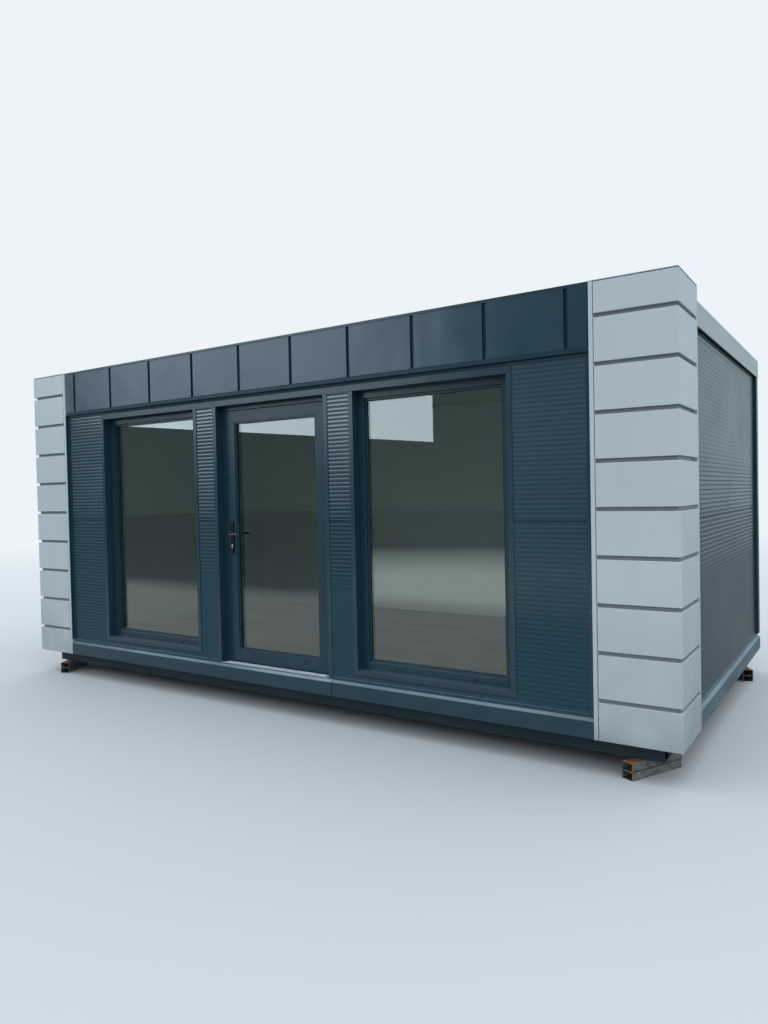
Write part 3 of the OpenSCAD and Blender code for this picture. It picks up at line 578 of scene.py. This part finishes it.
def pale_coatings(paint):
    """Coatings of the pilasters, the roof's edges, the roof and the lining."""
    # Colour that the pilasters take towards the bottom, where they turn darker
    low_tone = (0.20, 0.25, 0.27)
    low, high = box("pilaster_right_cassettes")
    # Painted shade on the joint floors behind the pilaster cassettes
    joints = (low.y + 0.010, high.y, low.x, high.x - 0.010, 0.42)
    coated("cassette_coating", paint.cassette, 0.32, dust=0.95, shade=0.02, streaks=0.05, waves=0.7,
           specular=0.45, cells=("Z", paint.pilaster_joint, paint.pilaster_module, 0.02), dust_colour=low_tone)
    coated("strip_coating", paint.cassette, 0.34, dust=0.85, shade=0.02, streaks=0.05, waves=0.3,
           specular=0.4, joint_floor_shade=joints, dust_colour=low_tone)
    coated("edge_coating", toned(paint.cassette, 0.74), 0.32, dust=0.1, shade=0.02, waves=0.3, specular=0.45)
    coated("roof_coating", (0.30, 0.34, 0.36), 0.42, dust=0.35, settled=0.25, waves=0.6)
    coated("lining_coating", paint.lining, 0.5, dust=0.02, shade=0.02, waves=0.0)


def fitting_finishes():
    """Black fittings, rubber and bare metals of the openings."""
    coated("black_fittings", (0.005, 0.008, 0.011), 0.30, dust=0.0, waves=0.0, specular=0.3)
    coated("lever_coating", (0.006, 0.009, 0.012), 0.20, dust=0.0, waves=0.0, specular=0.9)
    coated("seal_rubber", (0.006, 0.008, 0.010), 0.6, dust=0.0, waves=0.0, specular=0.12)
    metal("anodised_threshold", (0.45, 0.50, 0.53), 0.30)
    metal("spacer_metal", (0.34, 0.37, 0.38), 0.4)
    metal("lock_nickel", (0.82, 0.83, 0.83), 0.34)


# Modelling

def edit(on):
    bpy.ops.object.mode_set(mode="EDIT" if on else "OBJECT")


def pick(piece):
    bpy.ops.object.select_all(action="DESELECT")
    piece.select_set(True)
    bpy.context.view_layer.objects.active = piece


def start(kind, name, place, sizes=(1.0, 1.0, 1.0), turn=(0.0, 0.0, 0.0), **options):
    """Adds a primitive at its place and turn, stretched to its sizes, and opens it for editing."""
    bpy.ops.object.select_all(action="DESELECT")
    add = {"box": bpy.ops.mesh.primitive_cube_add, "sheet": bpy.ops.mesh.primitive_plane_add,
           "rod": bpy.ops.mesh.primitive_cylinder_add}[kind]
    if kind != "rod":
        options["size"] = 1
    add(location=place, rotation=turn, **options)
    piece = bpy.context.object
    piece.name = name
    piece.scale = sizes
    bpy.ops.object.transform_apply(location=True, rotation=True, scale=True)
    edit(True)
    return piece


def choose(piece, faces=None, edges=None):
    """Selects the faces or edges of the open piece whose middle and direction pass a test."""
    bpy.ops.mesh.select_mode(type="FACE" if faces else "EDGE")
    bpy.ops.mesh.select_all(action="DESELECT")
    mesh = bmesh.from_edit_mesh(piece.data)
    if faces:
        for face in mesh.faces:
            face.select_set(bool(faces(face.calc_center_median(), face.normal)))
    else:
        for edge in mesh.edges:
            first, last = (corner.co for corner in edge.verts)
            edge.select_set(bool(edges((first + last) / 2, (last - first).normalized())))
    mesh.select_flush_mode()
    bmesh.update_edit_mesh(piece.data)


def push(x=0.0, y=0.0, z=0.0):
    bpy.ops.mesh.extrude_region_move(TRANSFORM_OT_translate={"value": (x, y, z)})


def bevel(piece, width, segments=2):
    tool = piece.modifiers.new("edge_round", "BEVEL")
    tool.width = width
    tool.segments = segments
    tool.limit_method = "ANGLE"
    tool.angle_limit = math.radians(30)
    tool.use_clamp_overlap = True
    bpy.ops.object.modifier_apply(modifier=tool.name)


def cover(mesh, material):
    mesh.materials.clear()
    mesh.materials.append(bpy.data.materials[material])


def finish(piece, material, body):
    """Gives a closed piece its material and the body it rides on."""
    cover(piece.data, material)
    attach(piece, body)


def tidy_faces():
    bpy.ops.mesh.select_all(action="SELECT")
    bpy.ops.mesh.remove_doubles(threshold=MERGE)
    bpy.ops.mesh.normals_make_consistent(inside=False)


def folded(name, cad, radius, body="cabin"):
    """A merged copy of a CAD node with its sheet edges rounded, in the node's place and finish."""
    piece = bpy.data.objects.new(name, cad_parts[cad].data.copy())
    bpy.context.scene.collection.objects.link(piece)
    pick(piece)
    edit(True)
    bpy.ops.mesh.select_all(action="SELECT")
    bpy.ops.mesh.remove_doubles(threshold=MERGE)
    bpy.ops.mesh.dissolve_limited(angle_limit=math.radians(1.0))
    bpy.ops.mesh.normals_make_consistent(inside=False)
    edit(False)
    bevel(piece, radius)
    finish(piece, piece.data.materials[0].name, body)
    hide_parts(cad)


def ring(name, x0, x1, z0, z1, inward, y0, y1):
    """A closed flat ring in the plane of the front, inward from its outer rectangle."""
    piece = start("sheet", name, ((x0 + x1) / 2, y0, (z0 + z1) / 2), (x1 - x0, z1 - z0, 1.0), UPRIGHT)
    choose(piece, faces=lambda at, way: True)
    bpy.ops.mesh.inset(thickness=inward, depth=0.0)
    bpy.ops.mesh.delete(type="FACE")
    bpy.ops.mesh.select_all(action="SELECT")
    push(y=y1 - y0)
    tidy_faces()
    edit(False)
    return piece


def repeat(piece, place=(0.0, 0.0, 0.0), turn=0.0, mirror=False):
    """A copy of a closed piece with its own mesh, turned about the upright axis and moved."""
    pick(piece)
    bpy.ops.object.duplicate(linked=False)
    copy = bpy.context.object
    copy.scale = (1.0, -1.0 if mirror else 1.0, 1.0)
    copy.rotation_euler = (0.0, 0.0, turn)
    copy.location = place
    bpy.ops.object.transform_apply(location=True, rotation=True, scale=True)
    if mirror:
        edit(True)
        tidy_faces()
        edit(False)
    return copy


def joined(name, pieces):
    """Joins closed pieces into one."""
    bpy.ops.object.select_all(action="DESELECT")
    for piece in pieces:
        piece.select_set(True)
    bpy.context.view_layer.objects.active = pieces[0]
    bpy.ops.object.join()
    pieces[0].name = name
    return pieces[0]


def glaze(name, x0, x1, low, high, body, sizes):
    """Rubber seals on both sides of a pane, and the spacer bars between its two sheets of glass."""
    z0, z1 = low.z + GLASS_LAP, high.z - GLASS_LAP
    depth, press, reach = 0.005, 0.0005, 0.002
    seals = joined(name + "_seals", [
        ring(name + side, x0, x1, z0, z1, sizes.seal_width, y0, y1)
        for side, y0, y1 in (
            ("_seal", low.y - depth, low.y + press), ("_seal_inside", high.y - press, high.y + depth))])
    bevel(seals, 0.0012)
    finish(seals, "seal_rubber", body)
    spacer = ring(
        name + "_spacer", x0 - reach, x1 + reach, z0 - reach, z1 + reach,
        sizes.spacer_width + reach, low.y + depth, high.y - depth)
    bevel(spacer, 0.001, 1)
    finish(spacer, "spacer_metal", body)


# Operators

class CABIN_OT_finishes(bpy.types.Operator):
    """Builds the node groups that the finishes share"""
    bl_idname = "cabin.finishes"
    bl_label = "Shared finishes"

    def execute(self, context):
        weather_group()
        sheet_group()
        return {"FINISHED"}


class CABIN_OT_coatings(bpy.types.Operator):
    """Builds the coatings, metals, rubber and glass of the cabin"""
    bl_idname = "cabin.coatings"
    bl_label = "Coatings and metals"

    def execute(self, context):
        paint = context.scene.cabin_paint
        wall_coatings(paint)
        dark_coatings(paint)
        pale_coatings(paint)
        fitting_finishes()
        planks(paint.floor)
        rusty_steel(paint.rust, context.scene.cabin_fittings.tube_height)
        clear_glass(paint.glass)
        return {"FINISHED"}


class CABIN_OT_paint(bpy.types.Operator):
    """Gives every CAD node its finish"""
    bl_idname = "cabin.paint"
    bl_label = "Coat the cabin"

    def execute(self, context):
        for material, names in FINISHES.items():
            for name in names:
                cover(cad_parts[name].data, material)
        return {"FINISHED"}


class CABIN_OT_cladding(bpy.types.Operator):
    """Rounds the folded edges of cassettes, copings, skirts and flashings"""
    bl_idname = "cabin.cladding"
    bl_label = "Folded cladding"

    def execute(self, context):
        radius = context.scene.cabin_fittings.fold_radius
        for name, cad, share in (
                ("pilaster_left_cassette_skins", "pilaster_left_cassettes", 1.0),
                ("pilaster_right_cassette_skins", "pilaster_right_cassettes", 1.0),
                ("pilaster_front_strips", "pilaster_carriers_front", 0.7),
                ("pilaster_side_strips", "pilaster_carriers_side", 0.7),
                ("corner_caps", "coping_corners", 0.6),
                ("fascia_skins", "fascia_cassettes", 0.7),
                ("fascia_drip_strip", "fascia_carrier", 1.0),
                ("front_coping", "coping_front", 1.0),
                ("roof_edge_sides_skin", "roof_edge_sides", 1.0),
                ("roof_edge_rear_skin", "roof_edge_rear", 1.0),
                ("skirt_front_skin", "skirt_front", 0.7),
                ("skirt_sides_skin", "skirt_sides", 0.7),
                ("skirt_rear_skin", "skirt_rear", 0.7),
                ("rear_corner_angles", "rear_corner_trims", 1.0)):
            folded(name, cad, radius * share)
        return {"FINISHED"}


class CABIN_OT_joinery(bpy.types.Operator):
    """Rounds the edges of the trims, the window frames, the door frame and the door leaf"""
    bl_idname = "cabin.joinery"
    bl_label = "Frames and trims"

    def execute(self, context):
        radius = context.scene.cabin_fittings.fold_radius
        folded("header_drip", "header_flashing", radius * 0.5)
        folded("opening_trim_skins", "opening_trims", radius * 0.5)
        folded("pilaster_closure_skins", "pilaster_closures", radius * 0.4)
        for cad, body in (
                ("window_frame_left", "cabin"), ("window_frame_right", "cabin"),
                ("door_frame", "cabin"), ("door_leaf", "door")):
            folded(cad + "_bars", cad, radius * 0.8, body)
        return {"FINISHED"}


class CABIN_OT_glazing(bpy.types.Operator):
    """Adds rubber seals round each pane and spacer bars in the glass units"""
    bl_idname = "cabin.glazing"
    bl_label = "Glazing seals and spacers"

    def execute(self, context):
        sizes = context.scene.cabin_fittings
        frame_width = 0.070
        low, high = box("window_glass")
        frame_low, frame_high = box("window_frame_right")
        x0, x1 = frame_low.x + frame_width, frame_high.x - frame_width
        glaze("window_left", -x1, -x0, low, high, "cabin", sizes)
        glaze("window_right", x0, x1, low, high, "cabin", sizes)
        low, high = box("door_glass")
        glaze("door", low.x + GLASS_LAP, high.x - GLASS_LAP, low, high, "door", sizes)
        return {"FINISHED"}


class CABIN_OT_threshold(bpy.types.Operator):
    """Models the threshold plate with its long ribs"""
    bl_idname = "cabin.threshold"
    bl_label = "Ribbed threshold"

    def execute(self, context):
        low, high = box("door_threshold")
        frame_low, frame_high = box("door_frame")
        jamb, first_cut, cut_step = 0.034, 0.010, 0.0085
        inner_x = frame_high.x - jamb
        cuts = [low.y + first_cut + cut_step * k for k in range(7)]
        plate = start(
            "box", "threshold_plate", (0.0, (low.y + high.y) / 2, (low.z + high.z) / 2),
            (2 * inner_x, high.y - low.y, high.z - low.z))
        for y in cuts + [frame_low.y]:
            bpy.ops.mesh.select_all(action="SELECT")
            bpy.ops.mesh.bisect(plane_co=(0.0, y, 0.0), plane_no=(0.0, 1.0, 0.0))
        for side in (-1, 1):
            choose(plate, faces=lambda at, way: way.x * side > 0.9 and at.y < frame_low.y)
            push(x=side * (high.x - inner_x))
        for first, last in zip(cuts[0:6:2], cuts[1:6:2]):
            choose(plate, faces=lambda at, way: way.z > 0.9 and first < at.y < last and abs(at.x) < inner_x)
            push(z=context.scene.cabin_fittings.rib_height)
        tidy_faces()
        edit(False)
        bevel(plate, 0.0011)
        finish(plate, "anodised_threshold", "cabin")
        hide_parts("door_threshold")
        return {"FINISHED"}


class CABIN_OT_plates(bpy.types.Operator):
    """Models the handle plates with lock cylinders on both sides of the leaf"""
    bl_idname = "cabin.plates"
    bl_label = "Handle plates and locks"

    def execute(self, context):
        low, high = box("door_plates")
        leaf_low, leaf_high = box("door_leaf")
        plate_depth, plate_corner = 0.009, 0.009
        lock_radius, lock_depth, lock_stand, lock_below = 0.0085, 0.005, 0.0105, 0.092
        key_width, key_drop = 0.009, 0.013
        x = (low.x + high.x) / 2
        spindle_z = high.z - (high.z - low.z) * 0.4
        lock_z = spindle_z - lock_below
        plate = start(
            "box", "handle_plate", (x, leaf_low.y - plate_depth / 2, (low.z + high.z) / 2),
            (high.x - low.x, plate_depth, high.z - low.z))
        choose(plate, edges=lambda at, way: abs(way.y) > 0.9)
        bpy.ops.mesh.bevel(offset=plate_corner, segments=4)
        choose(plate, faces=lambda at, way: way.y < -0.9)
        bpy.ops.mesh.inset(thickness=0.004, depth=0.0)
        tidy_faces()
        edit(False)
        bevel(plate, 0.0016)
        lock = start(
            "rod", "lock_cylinder", (x, leaf_low.y - lock_stand, lock_z), turn=UPRIGHT,
            radius=lock_radius, depth=lock_depth, vertices=24)
        choose(lock, faces=lambda at, way: way.z < -0.5 and abs(at.x - x) < key_width / 2)
        push(z=-key_drop)
        choose(lock, faces=lambda at, way: way.y < -0.9 and abs(at.z - lock_z) < 0.008)
        bpy.ops.mesh.inset(thickness=0.0018, depth=0.0006)
        tidy_faces()
        edit(False)
        bevel(lock, 0.0005, 1)
        across = (2 * x, leaf_low.y + leaf_high.y, 0.0)
        plates = joined("handle_plates", [plate, repeat(plate, across, math.pi)])
        finish(plates, "black_fittings", "door")
        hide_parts("door_plates")
        locks = joined("lock_cylinders", [lock, repeat(lock, across, math.pi)])
        finish(locks, "lock_nickel", "door")
        return {"FINISHED"}


class CABIN_OT_lever(bpy.types.Operator):
    """Models the two curved grips of the door lever on their spindle"""
    bl_idname = "cabin.lever"
    bl_label = "Door lever"

    def execute(self, context):
        low, high = box("door_lever")
        leaf_low, leaf_high = box("door_leaf")
        thickness, radius, bend = 0.017, 0.0078, 0.011
        plate_face, spindle_length = 0.0094, 0.058
        x = low.x + thickness / 2
        z = (low.z + high.z) / 2
        neck_from = leaf_low.y - plate_face
        neck_to = low.y + thickness / 2 + bend
        grip = start(
            "rod", "lever_grip", (x, (neck_from + neck_to) / 2, z), turn=UPRIGHT,
            radius=radius, depth=neck_from - neck_to, vertices=20)
        choose(grip, faces=lambda at, way: way.y < -0.9)
        bpy.ops.mesh.spin(steps=6, angle=-QUARTER, center=(x + bend, neck_to, z), axis=(0.0, 0.0, 1.0))
        for step, (dx, dz, wide, tall) in enumerate((
                (0.018, 0.0, 0.9, 1.04), (0.020, 0.0008, 0.9, 1.02), (0.020, -0.0004, 0.94, 1.0),
                (0.018, -0.0016, 0.95, 0.98), (0.014, -0.0022, 0.9, 0.94), (0.006, -0.0012, 0.7, 0.72))):
            push(x=dx, y=0.0008 * step, z=dz)
            bpy.ops.transform.resize(value=(1.0, wide, tall))
        tidy_faces()
        choose(grip, faces=lambda at, way: way.y > 0.9 and abs(at.y - neck_from) < 0.0005)
        bpy.ops.mesh.inset(thickness=0.003, depth=0.0)
        push(y=spindle_length)
        tidy_faces()
        edit(False)
        pick(grip)
        bpy.ops.object.shade_smooth_by_angle(angle=math.radians(40))
        inside = repeat(grip, (0.0, leaf_low.y + leaf_high.y, 0.0), mirror=True)
        lever = joined("door_lever_grips", [grip, inside])
        finish(lever, "lever_coating", "lever")
        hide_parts("door_lever")
        return {"FINISHED"}


class CABIN_OT_drains(bpy.types.Operator):
    """Adds the small drain covers on the bottom rails of the door and the windows"""
    bl_idname = "cabin.drains"
    bl_label = "Drain covers"

    def execute(self, context):
        rail_middle, stand = 0.028, 0.002
        length, depth, height = 0.028, 0.0048, 0.009
        x0, z0 = 0.27, box("door_glass")[0].z - rail_middle
        drain = start(
            "box", "drain_cover", (x0, box("door_leaf")[0].y - stand, z0), (length, depth, height))
        choose(drain, faces=lambda at, way: way.y < -0.9)
        bpy.ops.mesh.inset(thickness=0.0022, depth=0.0)
        bpy.ops.transform.translate(value=(0.0, -0.0012, -0.001))
        choose(drain, faces=lambda at, way: way.z < -0.9)
        bpy.ops.mesh.inset(thickness=0.0012, depth=-0.0012)
        edit(False)
        bevel(drain, 0.0007)
        groups = {"door": [drain, repeat(drain, (-2 * x0, 0.0, 0.0))], "cabin": []}
        low, high = box("window_frame_right")
        for side in (-1, 1):
            for share in (0.24, 0.76):
                x = side * (low.x + (high.x - low.x) * share)
                groups["cabin"].append(repeat(drain, (x - x0, 0.0, low.z + rail_middle - z0)))
        for body, drains in groups.items():
            finish(joined("drain_covers_" + body, drains), "black_fittings", body)
        return {"FINISHED"}


class CABIN_OT_supports(bpy.types.Operator):
    """Models the stacked support tubes with rounded corners and open sawn ends"""
    bl_idname = "cabin.supports"
    bl_label = "Support tubes"

    def execute(self, context):
        sizes = context.scene.cabin_fittings
        low, high = (Vector(corner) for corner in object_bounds())
        wall, corner_radius = 0.004, 0.007
        tube = start(
            "box", "support_tube", (0.0, sizes.tube_length / 2, sizes.tube_height / 2),
            (sizes.tube_width, sizes.tube_length, sizes.tube_height))
        choose(tube, edges=lambda at, way: abs(way.y) > 0.9)
        bpy.ops.mesh.bevel(offset=corner_radius, segments=4)
        choose(tube, faces=lambda at, way: abs(way.y) > 0.9)
        bpy.ops.mesh.inset(thickness=wall, depth=0.0)
        bpy.ops.mesh.bridge_edge_loops()
        tidy_faces()
        edit(False)
        pick(tube)
        bpy.ops.object.shade_smooth_by_angle(angle=math.radians(35))
        front_stack = (high.x - 0.320, low.y + 0.032, -1)
        rear_stack = (high.x - 0.045, high.y - 0.470, 1)
        for level, name in enumerate(("lower", "upper")):
            tubes = [repeat(tube, (side * x, y, level * sizes.tube_height), side * way * sizes.tube_turn)
                     for x, y, way in (front_stack, rear_stack) for side in (1, -1)]
            stack = joined("tubes_" + name, tubes)
            cad = "support_tubes_" + name
            finish(stack, "support_rust", "cabin")
            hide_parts(cad)
        bpy.data.objects.remove(tube)
        return {"FINISHED"}


# Studio

def photo_camera(scene, studio):
    """The camera of the picture: its place, turn, tilt and roll."""
    data = bpy.data.cameras.new("photo_camera")
    data.sensor_width = 36.0
    data.lens = studio.lens
    data.clip_end = 500.0
    camera = bpy.data.objects.new("photo_camera", data)
    scene.collection.objects.link(camera)
    camera.matrix_world = (
        Matrix.Translation(studio.eye) @ Matrix.Rotation(studio.yaw, 4, "Z")
        @ Matrix.Rotation(QUARTER - studio.pitch, 4, "X") @ Matrix.Rotation(studio.roll, 4, "Z"))
    scene.camera = camera


def rays(tree):
    """Which rays come straight from the camera, and which by way of gloss or glass alone."""
    path = node(tree, "ShaderNodeLightPath").outputs
    glossy = maths(tree, "MAXIMUM", path["Is Glossy Ray"], path["Is Transmission Ray"])
    return path["Is Camera Ray"], times(tree, glossy, maths(tree, "LESS_THAN", path["Diffuse Depth"], 0.5))


def mirrored_floor(tree, parts, distance):
    """What gloss and glass show of the floor: close by, before the cabin, further off and at its end."""
    across, along = parts["X"], parts["Y"]
    right = spread(tree, maths(tree, "SUBTRACT", across, times(tree, along, 0.74)), 1.3, 2.2)
    further = blend(tree, right, FLOOR_LEFT, FLOOR_RIGHT)
    near = blend(tree, spread(tree, along, -2.4, -1.2), FLOOR_BEFORE, FLOOR_CLOSE)
    shown = blend(tree, spread(tree, along, -7.6, -6.2, 1.0, 0.0), near, further)
    end = times(tree, spread(tree, distance, 11.0, 19.0), spread(tree, along, -2.0, 2.0, 1.0, 0.0))
    return blend(tree, end, shown, FLOOR_END)


def studio_floor(studio):
    """A plain floor with the cabin's shadow, which fades into the backdrop."""
    width = 2 * studio.floor_size
    ground = start("sheet", "studio_floor", (0.0, 0.0, 0.0), (width, width, 1.0))
    edit(False)
    tree, bsdf = shader("studio_floor")
    seen, glossy = rays(tree)
    distance = node(
        tree, "ShaderNodeVectorMath", {0: coordinates(tree)}, operation="LENGTH").outputs["Value"]
    base = blend(tree, glossy, SOFT_FLOOR, mirrored_floor(tree, axes(tree), distance))
    feed(tree, bsdf, {
        "Base Color": blend(tree, seen, base, studio.floor_tone),
        "Roughness": 0.9, "Specular IOR Level": 0.1})
    far = node(tree, "ShaderNodeEmission", {"Color": studio.backdrop})
    show(tree, times(tree, spread(tree, distance, 4.0, 24.0), seen), bsdf, far)
    cover(ground.data, "studio_floor")
    ground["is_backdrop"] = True


def surroundings(scene, studio):
    """Soft light from all round, and the colours that the camera, gloss and glass see in its place."""
    scene.world = scene.world or bpy.data.worlds.new("studio")
    scene.world.use_nodes = True
    tree = scene.world.node_tree
    tree.nodes.clear()
    seen, glossy = rays(tree)
    way = axes(tree, "Generated")
    ahead = times(
        tree, spread(tree, way["Y"], -0.25, 0.15, 1.0, 0.0), spread(tree, way["Z"], 0.15, 0.8, 1.0, 0.0))
    around = blend(tree, glossy, SOFT_LIGHT, blend(tree, ahead, studio.mirror_level, MIRRORED_AHEAD))
    direct = maths(tree, "MAXIMUM", seen, glossy)
    soft = times(tree, spread(tree, way["Z"], 0.0, 1.0, 0.6, 2.2), studio.world_level)
    level = plus(tree, times(tree, soft, maths(tree, "SUBTRACT", 1.0, direct)), direct)
    room = node(
        tree, "ShaderNodeBackground",
        {"Color": blend(tree, seen, around, studio.backdrop), "Strength": level})
    node(tree, "ShaderNodeOutputWorld", {"Surface": room.outputs[0]})


def light_card(studio):
    """A soft panel at the front left with a sloping lower edge, which only gloss and glass show."""
    middle, width, height = Vector((-12.9, -14.0, 7.0)), 14.4, 8.0
    left = middle.x - width / 2
    card = start("sheet", "light_card", middle, (width, height, 1.0), UPRIGHT)
    choose(card, edges=lambda at, way: at.x < left + 1.0)
    bpy.ops.transform.resize(
        value=(1.0, 1.0, 0.82), center_override=(left, middle.y, middle.z + height / 2))
    edit(False)
    tree = shader("light_card")[0]
    bright, dimmer = 1.05 * studio.panel_level, 0.97 * studio.panel_level
    glow = node(
        tree, "ShaderNodeEmission",
        {"Color": CARD_LIGHT, "Strength": spread(tree, axes(tree)["X"], -16.0, -6.0, bright, dimmer)})
    feed(tree, tree.nodes["Material Output"], {"Surface": glow.outputs[0]})
    cover(card.data, "light_card")
    card.visible_camera = False
    card.visible_diffuse = False
    card.visible_shadow = False
    card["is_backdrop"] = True


class CABIN_OT_stage(bpy.types.Operator):
    """Builds the pale studio floor, the soft lights and the camera"""
    bl_idname = "cabin.stage"
    bl_label = "Studio and camera"

    def execute(self, context):
        scene = context.scene
        studio = scene.cabin_stage
        photo_camera(scene, studio)
        studio_floor(studio)
        surroundings(scene, studio)
        light_card(studio)
        scene.view_settings.view_transform = "Standard"
        return {"FINISHED"}


class CABIN_PT_panel(bpy.types.Panel):
    bl_idname = "CABIN_PT_panel"
    bl_label = "Cabin"
    bl_space_type = "VIEW_3D"
    bl_region_type = "UI"
    bl_category = "Cabin"

    def draw(self, context):
        for step in STEPS:
            self.layout.operator(step.bl_idname)
        for group in (context.scene.cabin_paint, context.scene.cabin_fittings, context.scene.cabin_stage):
            column = self.layout.column()
            for key in group.__annotations__:
                column.prop(group, key)


STEPS = (
    CABIN_OT_finishes, CABIN_OT_coatings, CABIN_OT_paint, CABIN_OT_cladding, CABIN_OT_joinery,
    CABIN_OT_glazing, CABIN_OT_threshold, CABIN_OT_plates, CABIN_OT_lever, CABIN_OT_drains,
    CABIN_OT_supports, CABIN_OT_stage)
CLASSES = (CabinPaint, CabinFittings, CabinStage, *STEPS, CABIN_PT_panel)


def register():
    for cls in CLASSES:
        bpy.utils.register_class(cls)
    bpy.types.Scene.cabin_paint = PointerProperty(type=CabinPaint)
    bpy.types.Scene.cabin_fittings = PointerProperty(type=CabinFittings)
    bpy.types.Scene.cabin_stage = PointerProperty(type=CabinStage)


def unregister():
    del bpy.types.Scene.cabin_stage
    del bpy.types.Scene.cabin_fittings
    del bpy.types.Scene.cabin_paint
    for cls in reversed(CLASSES):
        bpy.utils.unregister_class(cls)


def main():
    register()
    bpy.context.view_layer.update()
    bpy.ops.cabin.finishes()
    bpy.ops.cabin.coatings()
    bpy.ops.cabin.paint()
    bpy.ops.cabin.cladding()
    bpy.ops.cabin.joinery()
    bpy.ops.cabin.glazing()
    bpy.ops.cabin.threshold()
    bpy.ops.cabin.plates()
    bpy.ops.cabin.lever()
    bpy.ops.cabin.drains()
    bpy.ops.cabin.supports()
    bpy.ops.cabin.stage()


if __name__ == "__main__":
    main()
